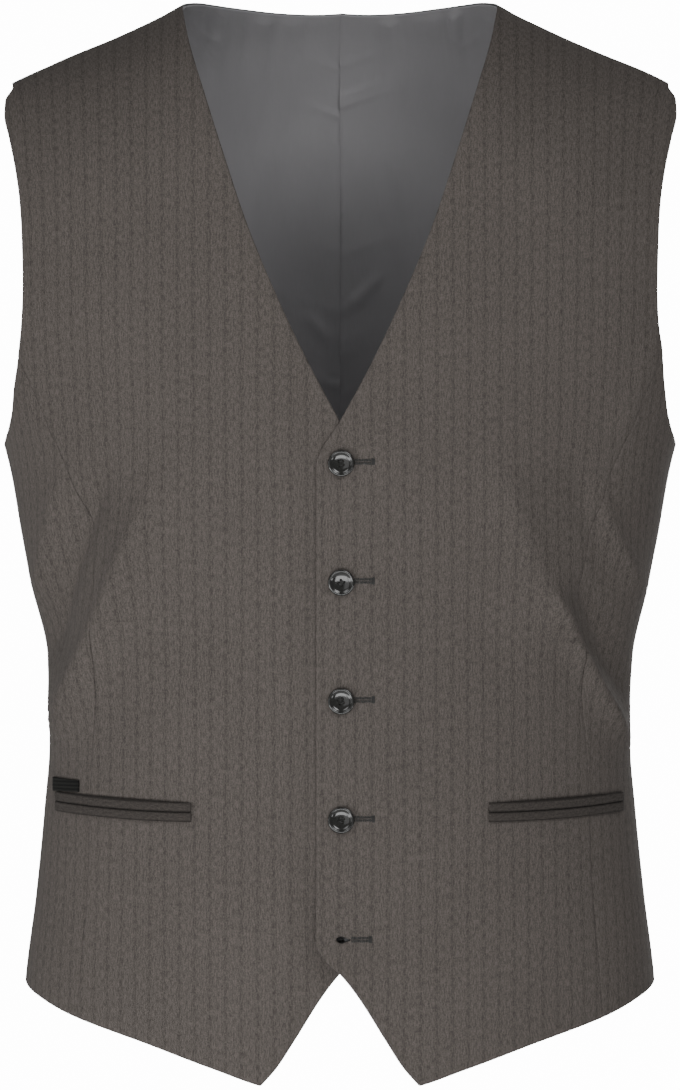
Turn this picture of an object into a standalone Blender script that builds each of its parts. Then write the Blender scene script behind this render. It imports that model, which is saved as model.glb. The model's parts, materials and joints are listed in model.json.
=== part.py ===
"""A single-breasted suit waistcoat, worn on a general figure that isn't there. Metres, +Z up, front facing -Y.

The origin is where the wearer holds it up: midway between the two shoulder seams, at half their height.
Every cloth piece is a panel of one worn form. The form is a stack of half ellipses, front and back, that
rolls over a shoulder line. A panel is a grid on the form, and Solidify gives it its wall.
+X is the wearer's left. The left front buttons over the right one.
"""

import math
from collections import namedtuple

import bmesh
import bpy
import numpy as np
from mathutils import Matrix, Vector
from mathutils.bvhtree import BVHTree

# Walls and gaps
CLOTH = 0.0020  # suiting with its interlining
SATIN = 0.0010  # the back, and the lining of the back
WELT = 0.0010
SEAM_GAP = 0.0003
SEAM_INSET = 0.00022  # each edge of a seam; the walls lean into the gap by the rest
LINING_SINK = SATIN + SEAM_GAP + 0.0002
LINING_SHORT = 0.0008  # the lining stops this far inside the edges of the back

# The worn form, from the hem up: half width at the side, and depth at the centre of front and back.
Station = namedtuple("Station", "height half_width front back")
STATIONS = (
    Station(-0.620, 0.1885, 0.1180, 0.1190),
    Station(-0.551, 0.1846, 0.1175, 0.1180),
    Station(-0.500, 0.1783, 0.1160, 0.1120),
    Station(-0.450, 0.1733, 0.1145, 0.1040),
    Station(-0.408, 0.1701, 0.1132, 0.0990),
    Station(-0.360, 0.1718, 0.1135, 0.1000),
    Station(-0.324, 0.1794, 0.1160, 0.1050),
    Station(-0.288, 0.1868, 0.1200, 0.1120),
    Station(-0.253, 0.1929, 0.1235, 0.1180),
    Station(-0.236, 0.1970, 0.1245, 0.1210),
    Station(-0.205, 0.2065, 0.1245, 0.1240),
    Station(-0.150, 0.2220, 0.1220, 0.1260),
    Station(-0.090, 0.2240, 0.1150, 0.1220),
    Station(0.000, 0.2240, 0.1050, 0.1150),
    Station(0.045, 0.2240, 0.1000, 0.1120),
)

# The line along the top of the shoulder, run on across the neck opening
RidgePoint = namedtuple("RidgePoint", "across height")
SHOULDER_LINE = (
    RidgePoint(0.0000, 0.0435),
    RidgePoint(0.0500, 0.0372),
    RidgePoint(0.0800, 0.0292),
    RidgePoint(0.0926, 0.0232),
    RidgePoint(0.1056, 0.0160),
    RidgePoint(0.1360, 0.0019),
    RidgePoint(0.1805, -0.0169),
    RidgePoint(0.2000, -0.0262),
    RidgePoint(0.2240, -0.0388),
)
FRONT_ROLL = 0.100  # height over which the front rolls over the shoulder
BACK_ROLL = 0.110
SEAM_ROLL = math.radians(9)  # the shoulder seam lies this far in front of the shoulder line

# Outlines as seen from the front, from the hem up
EdgePoint = namedtuple("EdgePoint", "height across")
FRONT_EDGE = (  # hem point, cutaway, button stand, V neck
    EdgePoint(-0.6072, 0.0457),
    EdgePoint(-0.5945, 0.0363),
    EdgePoint(-0.5775, 0.0260),
    EdgePoint(-0.5548, 0.0113),
    EdgePoint(-0.5413, 0.0000),
    EdgePoint(-0.5350, -0.0075),
    EdgePoint(-0.5240, -0.0138),
    EdgePoint(-0.2480, -0.0138),
    EdgePoint(-0.2425, -0.0120),
    EdgePoint(-0.2235, 0.0000),
    EdgePoint(-0.1852, 0.0206),
    EdgePoint(-0.1414, 0.0408),
    EdgePoint(-0.1085, 0.0540),
    EdgePoint(-0.0703, 0.0667),
    EdgePoint(-0.0341, 0.0781),
    EdgePoint(-0.0008, 0.0880),
    EdgePoint(0.0205, 0.0926),
)
PANEL_SEAM = (  # between the front and the side panel, up to the armhole
    EdgePoint(-0.5710, 0.1527),
    EdgePoint(-0.5370, 0.1500),
    EdgePoint(-0.4970, 0.1470),
    EdgePoint(-0.4570, 0.1455),
    EdgePoint(-0.4200, 0.1440),
    EdgePoint(-0.3800, 0.1400),
    EdgePoint(-0.3400, 0.1385),
    EdgePoint(-0.2930, 0.1455),
    EdgePoint(-0.2570, 0.1560),
    EdgePoint(-0.2290, 0.1670),
    EdgePoint(-0.2050, 0.1765),
    EdgePoint(-0.1850, 0.1868),
)
FRONT_ARMHOLE = (
    EdgePoint(-0.1850, 0.1868),
    EdgePoint(-0.1660, 0.1850),
    EdgePoint(-0.1480, 0.1844),
    EdgePoint(-0.1120, 0.1855),
    EdgePoint(-0.0940, 0.1868),
    EdgePoint(-0.0760, 0.1895),
    EdgePoint(-0.0580, 0.1935),
    EdgePoint(-0.0420, 0.1972),
    EdgePoint(-0.0340, 0.1970),
    EdgePoint(-0.0270, 0.1930),
)
BACK_ARMHOLE = (
    EdgePoint(-0.2360, 0.1950),
    EdgePoint(-0.2300, 0.1915),
    EdgePoint(-0.2180, 0.1885),
    EdgePoint(-0.2000, 0.1855),
    EdgePoint(-0.1850, 0.1835),
    EdgePoint(-0.1480, 0.1810),
    EdgePoint(-0.1120, 0.1820),
    EdgePoint(-0.0760, 0.1865),
    EdgePoint(-0.0580, 0.1905),
    EdgePoint(-0.0420, 0.1955),
    EdgePoint(-0.0340, 0.1965),
    EdgePoint(-0.0270, 0.1930),
)
# Hem and armhole foot, by the angle round the body from the centre front
TurnPoint = namedtuple("TurnPoint", "degrees height")
HEM = (
    TurnPoint(0.0, -0.6160),
    TurnPoint(13.9, -0.6072),
    TurnPoint(22.8, -0.5979),
    TurnPoint(39.4, -0.5817),
    TurnPoint(59.0, -0.5676),
    TurnPoint(73.0, -0.5585),
    TurnPoint(90.0, -0.5512),
    TurnPoint(100.0, -0.5485),
    TurnPoint(125.0, -0.5460),
    TurnPoint(180.0, -0.5450),
)
HEM_REACH = 0.085  # the rows of a front follow its hem less and less over this height
ARMHOLE_FOOT = (
    TurnPoint(61.6, -0.1850),
    TurnPoint(65.3, -0.2000),
    TurnPoint(71.0, -0.2180),
    TurnPoint(78.0, -0.2290),
    TurnPoint(86.0, -0.2345),
    TurnPoint(100.0, -0.2360),
)
SIDE_SEAM = math.radians(100)
FLANK_RADIUS = 0.11  # the form's rough radius at its sides
BACK_NECK_HALF = 0.0926
BACK_NECK_FRONT = -0.0145  # where the neckline meets the shoulder seam, along Y
BACK_NECK_DEPTH = 0.0805

# Soft folds that the waist pulls into each front, as ridges (+) and troughs (-) along a line
Fold = namedtuple("Fold", "low_across low_height high_across high_height spread rise")
FOLD_END = 0.4  # share of a fold's length over which it rises and dies away
FOLDS = (
    Fold(0.166, -0.428, 0.112, -0.300, 0.012, 0.0030),
    Fold(0.172, -0.375, 0.145, -0.270, 0.013, -0.0026),
)

# Panel grids: how the rows of each end at the inner and the outer edge
Tie = namedtuple("Tie", "inner outer rows")
FRONT_TIES = (
    Tie(-0.5413, -0.535, 4),
    Tie(-0.5240, -0.520, 1),
    Tie(-0.2480, -0.255, 13),
    Tie(-0.2235, -0.235, 2),
    Tie(-0.1500, -0.185, 3),
    Tie(-0.0680, -0.121, 4),
)
BACK_TIES = (
    Tie(-0.2360, -0.236, 13),
    Tie(-0.1800, -0.200, 3),
    Tie(-0.0680, -0.121, 4),
)
FRONT_COLUMNS = 10
SIDE_COLUMNS = 6
NECK_COLUMNS, SHOULDER_COLUMNS = 6, 5
ROLL_ROWS = 7

# The overlap of the two fronts
LAP_FROM, LAP_TO = 0.034, 0.016  # the right front sinks under the left between these
LAP_SINK = CLOTH + SEAM_GAP + 0.0003
BUTTON_ACROSS, BUTTON_TOP, BUTTON_PITCH, BUTTONS = 0.0007, -0.2479, 0.0686, 5
OPEN_LIFT, OPEN_SINK, OPEN_SPREAD = 0.0019, 0.0015, 0.020  # round the undone bottom button

# Buttons: four holes, a raised rim and a dished middle
BUTTON_RADIUS = 0.0076
BUTTON_BACK = 0.0062
BUTTON_THICKNESS = 0.0025
BUTTON_DISH = 0.0009
BUTTON_RIM = 0.0016
BUTTON_HOLE, BUTTON_HOLE_AT = 0.0008, 0.0014
BUTTON_SEAT = 0.0004

# Pockets: two welts each, and the tab above the right one
POCKET_INNER, POCKET_OUTER = 0.0855, 0.1650
POCKET_INNER_HEIGHT, POCKET_OUTER_HEIGHT = -0.4496, -0.4450
WELT_HEIGHT = 0.0051
WELT_CELLS = 18
REACH = 0.015  # how far off the form a strip looks for the cloth under it
STRIP_GAP = SEAM_GAP + 0.0002  # the cloth under a strip has slight edges between its facets
TAB_INNER, TAB_OUTER = 0.1500, 0.1650
TAB_LOW, TAB_HIGH = -0.4394, -0.4325
TAB_CELLS = 8

# Colours: red, green, blue, roughness
SUITING_COLOUR, SUITING_ROUGHNESS = (0.100, 0.088, 0.080), 0.92
SATIN_COLOUR, SATIN_ROUGHNESS = (0.085, 0.085, 0.090), 0.45
LINING_COLOUR, LINING_ROUGHNESS = (0.150, 0.145, 0.152), 0.42
TRIM_COLOUR, TRIM_ROUGHNESS = (0.012, 0.012, 0.012), 0.60
HORN_COLOUR, HORN_ROUGHNESS = (0.010, 0.010, 0.009), 0.18


def smooth_through(points):
    """A function through the points, in rising order, that neither overshoots nor kinks (monotone cubic)."""
    at, value = np.array([tuple(p)[:2] for p in points], float).T
    steps = np.diff(at)
    slopes = np.diff(value) / steps
    turns = slopes[:-1] * slopes[1:] <= 0
    sums = np.where(turns, 1.0, slopes[:-1] + slopes[1:])
    inner = np.where(turns, 0.0, 2 * slopes[:-1] * slopes[1:] / sums)
    tangents = np.concatenate([slopes[:1], inner, slopes[-1:]])

    def curve(x):
        x = min(max(x, at[0]), at[-1])
        i = min(max(int(np.searchsorted(at, x)) - 1, 0), len(steps) - 1)
        t = (x - at[i]) / steps[i]
        rise = value[i] * (1 + 2 * t) * (1 - t) ** 2 + value[i + 1] * t * t * (3 - 2 * t)
        lean = tangents[i] * t * (1 - t) ** 2 - tangents[i + 1] * t * t * (1 - t)
        return float(rise + lean * steps[i])

    return curve


half_width = smooth_through([(s.height, s.half_width) for s in STATIONS])
front_depth = smooth_through([(s.height, s.front) for s in STATIONS])
back_depth = smooth_through([(s.height, s.back) for s in STATIONS])
shoulder_line = smooth_through(SHOULDER_LINE)
front_edge = smooth_through(FRONT_EDGE)
panel_seam = smooth_through(PANEL_SEAM)
front_armhole = smooth_through(FRONT_ARMHOLE)
back_armhole = smooth_through(BACK_ARMHOLE)
hem = smooth_through(HEM)
armhole_foot = smooth_through(ARMHOLE_FOOT)


def mix(a, b, share):
    return a + (b - a) * share


def ease(x):
    """0 to 1 with a flat start and end."""
    x = min(max(x, 0.0), 1.0)
    return x * x * (3 - 2 * x)


def turned(angle, height):
    """The point of the form at an angle round the body: 0 at the centre front, pi at the centre back."""
    across = half_width(height) * math.sin(angle)
    drop = shoulder_line(abs(across)) - height
    at_front = math.cos(angle) > 0
    roll = FRONT_ROLL if at_front else BACK_ROLL
    depth = (front_depth if at_front else back_depth)(height)
    reach = math.sqrt(max(0.0, 1 - max(0.0, 1 - drop / roll) ** 2))
    return across, -depth * math.cos(angle) * reach, height


def on_front(across, height):
    return turned(math.asin(across / half_width(height)), height)


def seam_roll(across, inset):
    """The roll of the shoulder seam, moved forward by inset."""
    flat = front_depth(0.0) * math.sqrt(1 - (across / half_width(0.0)) ** 2)
    return -SEAM_ROLL - inset / flat


def over_shoulder(across, roll):
    """A point by its roll from the shoulder line: below 0 in front of it, above 0 behind it."""
    span = FRONT_ROLL if roll < 0 else BACK_ROLL
    height = shoulder_line(across) - span * (1 - math.cos(roll))
    angle = math.asin(across / half_width(height))
    return turned(angle if roll < 0 else math.pi - angle, height)


def fold_rise(across, height):
    """How far the folds lift a front at this place."""
    total = 0.0
    for fold in FOLDS:
        low = Vector((fold.low_across, fold.low_height))
        along = Vector((fold.high_across, fold.high_height)) - low
        place = Vector((across, height)) - low
        share = place.dot(along) / along.length_squared
        aside = (place - along * share).length
        ends = ease(share / FOLD_END + 0.5) * ease((1 - share) / FOLD_END + 0.5)
        total += fold.rise * ends * math.exp(-0.5 * (aside / fold.spread) ** 2)
    return total


def opened(across, height):
    """How much of the lift round the undone bottom button reaches this place."""
    away = (height - (BUTTON_TOP - BUTTON_PITCH * (BUTTONS - 1)), across)
    return math.exp(-0.5 * (math.hypot(*away) / OPEN_SPREAD) ** 2)


def lift(side, across, height):
    """How far a front stands out from the form. side is 1 for the left front and -1 for the right one."""
    out = fold_rise(across, height)
    if side > 0:
        return out + OPEN_LIFT * opened(across, height)
    under = ease((LAP_FROM - across) / (LAP_FROM - LAP_TO))
    return out - under * LAP_SINK - OPEN_SINK * opened(across, height)


def outward(points):
    """Unit normals of a grid of points, away from the body."""
    normal = np.cross(*(np.gradient(points, axis=axis, edge_order=2) for axis in (1, 0)))
    normal /= np.linalg.norm(normal, axis=2, keepdims=True)
    middle = normal[normal.shape[0] // 3, normal.shape[1] // 2]
    away = points[points.shape[0] // 3, points.shape[1] // 2] * (1, 1, 0)
    return normal if middle @ away > 0 else -normal


def material(name, colour, roughness):
    made = bpy.data.materials.new(name)
    made.use_nodes = True
    shader = made.node_tree.nodes["Principled BSDF"]
    shader.inputs["Base Color"].default_value = (*colour, 1.0)
    shader.inputs["Roughness"].default_value = roughness
    shader.inputs["Metallic"].default_value = 0.0
    return made


def moved_out(points, stand_out):
    return points + outward(points) * np.asarray(stand_out)[..., None]


def panel(name, points, wall, finish, side):
    """A closed cloth wall on a grid of points. side is -1 for the mirror image on the right."""
    points = points * (side, 1, 1)
    rows, columns = points.shape[:2]
    sheet = bmesh.new()
    bmesh.ops.create_grid(sheet, x_segments=columns - 1, y_segments=rows - 1, size=1)
    sheet.verts.ensure_lookup_table()
    for vertex, place in zip(sheet.verts, points.reshape(-1, 3)):
        vertex.co = place
    mesh = bpy.data.meshes.new(name)
    sheet.to_mesh(mesh)
    sheet.free()
    mesh.materials.append(finish)
    mesh.shade_smooth()
    made = bpy.data.objects.new(name, mesh)
    bpy.context.scene.collection.objects.link(made)
    solid = made.modifiers.new("wall", "SOLIDIFY")
    solid.thickness = wall
    solid.offset = 0.0
    solid.use_even_offset = True
    return made


def tied_rows(first, ties):
    """(inner height, outer height) of each row from the hem up to the last tie."""
    found = [first]
    for tie in ties:
        inner, outer = found[-1]
        for row in range(1, tie.rows + 1):
            share = row / tie.rows
            found.append((mix(inner, tie.inner, share), mix(outer, tie.outer, share)))
    return found


def front_rows():
    return tied_rows((FRONT_EDGE[0].height, PANEL_SEAM[0].height), FRONT_TIES)


def front_points():
    """The grid of the left front, from its front edge to the panel seam and the armhole."""
    hem_outer = PANEL_SEAM[0].height
    rows = front_rows()
    points = []
    for inner_height, outer_height in rows:
        outer_edge = panel_seam if outer_height < FRONT_ARMHOLE[0].height else front_armhole
        inner = front_edge(inner_height)
        outer = outer_edge(outer_height) - SEAM_INSET
        hem_share = 1 - ease((inner_height - rows[0][0]) / HEM_REACH)
        row = []
        for column in range(FRONT_COLUMNS + 1):
            share = column / FRONT_COLUMNS
            across = mix(inner, outer, share)
            height = mix(inner_height, outer_height, share)
            degrees = math.degrees(math.asin(across / half_width(height)))
            straight = mix(FRONT_EDGE[0].height, hem_outer, share)
            height += hem_share * (hem(degrees) - straight)
            row.append(on_front(across, height))
        points.append(row)
    for step in range(1, ROLL_ROWS + 1):
        rise = step / ROLL_ROWS
        roll = mix(math.pi / 2, SEAM_ROLL, rise)
        ends = []
        for edge, guess in ((front_edge, 0.08), (front_armhole, 0.19)):
            for _ in range(6):
                guess = edge(shoulder_line(guess) - FRONT_ROLL * (1 - math.cos(roll)))
            ends.append(guess)
        places = [mix(*ends, column / FRONT_COLUMNS) for column in range(FRONT_COLUMNS + 1)]
        rolls = [mix(-math.pi / 2, seam_roll(across, SEAM_INSET), rise) for across in places]
        points.append([over_shoulder(*pair) for pair in zip(places, rolls)])
    return np.array(points)


def side_points():
    """The grid of the left side panel, from the panel seam to the side seam, with the front's rows."""
    low, high = PANEL_SEAM[0].height, PANEL_SEAM[-1].height
    seam_heights = [outer for _, outer in front_rows() if outer <= high]
    turn_of = lambda height: math.asin(panel_seam(height) / half_width(height))
    points = []
    for seam_height in seam_heights:
        rise = (seam_height - low) / (high - low)
        first = turn_of(seam_height) + SEAM_INSET / FLANK_RADIUS
        row = []
        for column in range(SIDE_COLUMNS + 1):
            share = column / SIDE_COLUMNS
            angle = mix(first, SIDE_SEAM - SEAM_INSET / FLANK_RADIUS, share)
            hem_turn = mix(turn_of(low), SIDE_SEAM, share)
            foot_turn = mix(math.radians(ARMHOLE_FOOT[0].degrees), SIDE_SEAM, share)
            height = mix(hem(math.degrees(hem_turn)), armhole_foot(math.degrees(foot_turn)), rise)
            row.append(turned(angle, height))
        points.append(row)
    return np.array(points)


def back_top():
    """(across, roll) of each column's top: the neckline, then the shoulder seam."""
    found = []
    for column in range(NECK_COLUMNS + 1):
        turn = math.pi / 2 * column / NECK_COLUMNS
        across = BACK_NECK_HALF * math.sin(turn)
        reach = BACK_NECK_FRONT + BACK_NECK_DEPTH * math.cos(turn)
        height = shoulder_line(across)
        side_share = math.sqrt(1 - (across / half_width(height)) ** 2)
        depth = (back_depth if reach > 0 else front_depth)(height)
        found.append((across, math.asin(reach / depth / side_share)))
    found[-1] = (BACK_NECK_HALF, seam_roll(BACK_NECK_HALF, -SEAM_INSET))
    for column in range(1, SHOULDER_COLUMNS + 1):
        across = mix(BACK_NECK_HALF, BACK_ARMHOLE[-1].across, column / SHOULDER_COLUMNS)
        found.append((across, seam_roll(across, -SEAM_INSET)))
    return found


def back_points():
    """The grid of the left back, from the centre seam to the side seam and the armhole."""
    tops = back_top()
    columns = len(tops) - 1
    fan = [across / tops[-1][0] for across, _ in tops]
    rows = tied_rows((HEM[-1].height, hem(math.degrees(SIDE_SEAM))), BACK_TIES)
    low_rows = BACK_TIES[0].rows
    first = SEAM_INSET / half_width(0.0)
    points = []
    for number, (inner_height, outer_height) in enumerate(rows):
        if number <= low_rows:
            last = math.pi - SIDE_SEAM - SEAM_INSET / FLANK_RADIUS
        else:
            last = math.asin(back_armhole(outer_height) / half_width(outer_height))
        crowd = ease((number - low_rows) / (len(rows) + ROLL_ROWS - low_rows))
        row = []
        for column in range(columns + 1):
            share = mix(column / columns, fan[column], crowd)
            turn = mix(first, last, share)
            row.append(turned(math.pi - turn, mix(inner_height, outer_height, share)))
        points.append(row)
    start = points[-1]
    for step in range(1, ROLL_ROWS + 1):
        rise = step / ROLL_ROWS
        row = []
        for (across, _, height), (top_across, top_roll) in zip(start, tops):
            fall = min((shoulder_line(across) - height) / BACK_ROLL, 1.0)
            place = max(mix(across, top_across, ease(rise)), SEAM_INSET)
            row.append(over_shoulder(place, mix(math.acos(1 - fall), top_roll, rise)))
        points.append(row)
    return np.array(points)


def drawn_in(points, by):
    """The same grid with its hem, its top and its outer edge moved in, along the grid itself."""
    points = points.copy()
    for edge, inside in ((np.s_[0], np.s_[1]), (np.s_[-1], np.s_[-2]), (np.s_[:, -1], np.s_[:, -2])):
        inward = points[inside] - points[edge]
        points[edge] += inward / np.linalg.norm(inward, axis=1, keepdims=True) * by
    return points


def add_fronts(suiting):
    points = front_points()
    for name, side in (("front_left", 1), ("front_right", -1)):
        stand_out = [[lift(side, x, z) for x, _, z in row] for row in points]
        panel(name, moved_out(points, stand_out), CLOTH, suiting, side)


def add_sides(suiting):
    points = side_points()
    stand_out = [[fold_rise(x, z) if y < 0 else 0.0 for x, y, z in row] for row in points]
    points = moved_out(points, stand_out)
    for name, side in (("side_left", 1), ("side_right", -1)):
        panel(name, points, CLOTH, suiting, side)


def add_backs(satin, lining):
    outer = back_points()
    sunk = outer - outward(outer) * LINING_SINK
    sunk[:, 0, 0] = SEAM_INSET
    inner = drawn_in(sunk, LINING_SHORT)
    for name, side in (("left", 1), ("right", -1)):
        panel("back_" + name, outer, SATIN, satin, side)
        panel("back_lining_" + name, inner, SATIN, lining, side)


def strip_points(ends, low_at, high_at, cells):
    """A grid that lies along a front between two places, from low_at(share) up to high_at(share)."""
    rows = []
    for rise in (0.0, 0.5, 1.0):
        row = []
        for step in range(cells + 1):
            share = step / cells
            height = mix(low_at(share), high_at(share), rise)
            turn = mix(*[math.asin(end / half_width(height)) for end in ends], share)
            row.append(turned(turn, height))
        rows.append(row)
    return np.array(rows)


def lay_strip(name, points, wall, finish, side):
    """A strip that lies on the front and the side panel, a seam gap clear of their cloth."""
    graph = bpy.context.evaluated_depsgraph_get()
    half = "left" if side > 0 else "right"
    cloths = [BVHTree.FromObject(bpy.data.objects[f"{part}_{half}"], graph) for part in ("front", "side")]
    mirror = (side, 1, 1)
    places = (points * mirror).reshape(-1, 3)
    normals = (outward(points) * mirror).reshape(-1, 3)
    laid = []
    for place, normal in zip(places, normals):
        start = Vector(place + normal * REACH)
        hits = [cloth.ray_cast(start, -Vector(normal), 2 * REACH)[3] for cloth in cloths]
        depth = min(hit for hit in hits if hit is not None)
        laid.append(start - Vector(normal) * (depth - STRIP_GAP - wall / 2))
    panel(name, np.array(laid).reshape(points.shape) * mirror, wall, finish, side)


def add_pockets(suiting, trim):
    middle = lambda share: mix(POCKET_INNER_HEIGHT, POCKET_OUTER_HEIGHT, share)
    half_gap = SEAM_GAP / 2
    places = {
        "upper": (half_gap, half_gap + WELT_HEIGHT),
        "lower": (-half_gap - WELT_HEIGHT, -half_gap),
    }
    ends = (POCKET_INNER, POCKET_OUTER)
    for place, (low, high) in places.items():
        points = strip_points(ends, lambda s: middle(s) + low, lambda s: middle(s) + high, WELT_CELLS)
        for name, side in (("left", 1), ("right", -1)):
            lay_strip(f"pocket_{place}_welt_{name}", points, WELT, suiting, side)
    points = strip_points((TAB_INNER, TAB_OUTER), lambda _: TAB_LOW, lambda _: TAB_HIGH, TAB_CELLS)
    lay_strip("pocket_tab", points, WELT, trim, -1)


def button_blank(horn):
    """A turned button with four holes, standing on its back at the origin, its face up."""
    profile = (
        (0.0, 0.0),
        (BUTTON_BACK, 0.0),
        (BUTTON_RADIUS, BUTTON_THICKNESS * 0.45),
        (BUTTON_RADIUS, BUTTON_THICKNESS * 0.75),
        (BUTTON_RADIUS - BUTTON_RIM * 0.4, BUTTON_THICKNESS),
        (BUTTON_RADIUS - BUTTON_RIM, BUTTON_THICKNESS * 0.92),
        (BUTTON_RADIUS - BUTTON_RIM * 1.6, BUTTON_THICKNESS - BUTTON_DISH),
        (0.0, BUTTON_THICKNESS - BUTTON_DISH),
    )
    shape = bmesh.new()
    line = [shape.verts.new((r, 0, z)) for r, z in profile]
    edges = [shape.edges.new(pair) for pair in zip(line, line[1:])]
    bmesh.ops.spin(
        shape, geom=line + edges, axis=(0, 0, 1), cent=(0, 0, 0),
        angle=2 * math.pi, steps=20, use_merge=True,
    )
    bmesh.ops.remove_doubles(shape, verts=shape.verts, dist=1e-6)
    bmesh.ops.recalc_face_normals(shape, faces=shape.faces)
    mesh = bpy.data.meshes.new("button")
    shape.to_mesh(mesh)
    shape.free()
    mesh.materials.append(horn)
    mesh.shade_smooth()
    mesh.set_sharp_from_angle(angle=math.radians(40))
    return mesh


def hole_cutter():
    """Four straight pins that cut the thread holes."""
    cutter = bmesh.new()
    for quarter in range(4):
        turn = math.pi / 4 + quarter * math.pi / 2
        place = Matrix.Translation(
            (BUTTON_HOLE_AT * math.cos(turn), BUTTON_HOLE_AT * math.sin(turn), BUTTON_THICKNESS / 2)
        )
        bmesh.ops.create_cone(
            cutter, cap_ends=True, segments=8, radius1=BUTTON_HOLE, radius2=BUTTON_HOLE,
            depth=BUTTON_THICKNESS * 2, matrix=place,
        )
    mesh = bpy.data.meshes.new("hole_cutter")
    cutter.to_mesh(mesh)
    cutter.free()
    made = bpy.data.objects.new("hole_cutter", mesh)
    bpy.context.scene.collection.objects.link(made)
    made.hide_render = True
    made.display_type = "WIRE"
    return made


def add_buttons(horn):
    """Four buttons on the left front, and the undone bottom one on the right front, under the left."""
    blank = button_blank(horn)
    for number in range(1, BUTTONS + 1):
        height = BUTTON_TOP - BUTTON_PITCH * (number - 1)
        side = 1 if number < BUTTONS else -1
        _, depth, _ = on_front(0.0, height)
        seat = depth - lift(side, BUTTON_ACROSS * side, height) - CLOTH / 2 - BUTTON_SEAT
        above, below = (on_front(0.0, height + s * BUTTON_RADIUS) for s in (1, -1))
        upward = (Vector(above) - Vector(below)).normalized()
        facing = Vector((1, 0, 0)).cross(upward).normalized()
        across = upward.cross(facing)
        frame = Matrix((across, upward, facing)).transposed()
        place = Matrix.Translation((BUTTON_ACROSS, seat, height)) @ frame.to_4x4()
        button = bpy.data.objects.new(f"button_{number}", blank)
        bpy.context.scene.collection.objects.link(button)
        button.matrix_world = place
        cutter = hole_cutter()
        cutter.name = f"hole_cutter_{number}"
        cutter.matrix_world = place
        holes = button.modifiers.new("thread_holes", "BOOLEAN")
        holes.operation = "DIFFERENCE"
        holes.solver = "EXACT"
        holes.object = cutter


def clear_scene():
    for thing in list(bpy.data.objects):
        bpy.data.objects.remove(thing)


def main():
    clear_scene()
    suiting = material("suiting", SUITING_COLOUR, SUITING_ROUGHNESS)
    satin = material("back_satin", SATIN_COLOUR, SATIN_ROUGHNESS)
    lining = material("lining", LINING_COLOUR, LINING_ROUGHNESS)
    trim = material("trim", TRIM_COLOUR, TRIM_ROUGHNESS)
    horn = material("horn", HORN_COLOUR, HORN_ROUGHNESS)
    add_fronts(suiting)
    add_sides(suiting)
    add_backs(satin, lining)
    add_pockets(suiting, trim)
    add_buttons(horn)


main()
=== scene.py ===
"""A single-breasted suit waistcoat in its worn, hollow form.

Metres, +Z up. The front faces -Y, and +X is the wearer's left.
"""

import json
import math
from collections import namedtuple

import bmesh
import bpy
import numpy as np
from mathutils import Matrix, Vector
from mathutils.bvhtree import BVHTree

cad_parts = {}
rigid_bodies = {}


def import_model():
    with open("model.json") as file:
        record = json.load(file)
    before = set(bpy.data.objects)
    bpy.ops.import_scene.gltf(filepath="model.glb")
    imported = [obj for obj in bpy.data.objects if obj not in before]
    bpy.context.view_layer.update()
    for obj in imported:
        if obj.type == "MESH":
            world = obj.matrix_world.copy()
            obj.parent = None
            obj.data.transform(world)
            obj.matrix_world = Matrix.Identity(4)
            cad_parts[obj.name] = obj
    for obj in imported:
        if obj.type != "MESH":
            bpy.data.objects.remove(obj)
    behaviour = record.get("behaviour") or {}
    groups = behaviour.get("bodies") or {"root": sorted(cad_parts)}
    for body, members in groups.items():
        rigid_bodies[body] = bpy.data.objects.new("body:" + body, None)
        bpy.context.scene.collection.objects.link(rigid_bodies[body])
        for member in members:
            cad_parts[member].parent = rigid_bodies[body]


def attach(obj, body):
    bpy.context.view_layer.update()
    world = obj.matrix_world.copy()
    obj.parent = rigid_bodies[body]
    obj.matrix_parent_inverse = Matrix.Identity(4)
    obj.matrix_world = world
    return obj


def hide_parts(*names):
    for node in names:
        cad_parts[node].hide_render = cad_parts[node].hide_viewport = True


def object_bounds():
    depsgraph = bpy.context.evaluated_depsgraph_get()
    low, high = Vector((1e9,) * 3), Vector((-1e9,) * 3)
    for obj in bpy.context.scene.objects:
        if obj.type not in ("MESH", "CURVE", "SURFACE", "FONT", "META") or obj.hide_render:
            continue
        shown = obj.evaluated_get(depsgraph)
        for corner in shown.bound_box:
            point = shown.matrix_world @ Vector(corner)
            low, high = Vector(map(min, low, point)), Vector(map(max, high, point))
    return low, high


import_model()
CAD_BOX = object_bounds()

bl_info = {
    "name": "Suit Waistcoat",
    "version": (1, 0, 0),
    "blender": (4, 5, 0),
    "location": "View3D > Sidebar > Waistcoat",
    "description": "Builds the finished cloth, buttons and stitching of a suit waistcoat",
    "category": "Object",
}

BODY = "root"
FINE = 8  # cells of the finished cloth to each cell of its solid
EDGE_SHARE, EDGE_ANGLE = 0.38, math.radians(55)  # rounding of a cloth edge, as a share of the wall
SHARP_CLOTH, SHARP_BUTTON = math.radians(70), math.radians(45)


def records(kind, *rows):
    """Each row as one record of a kind."""
    return tuple(kind(*row) for row in rows)


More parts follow.
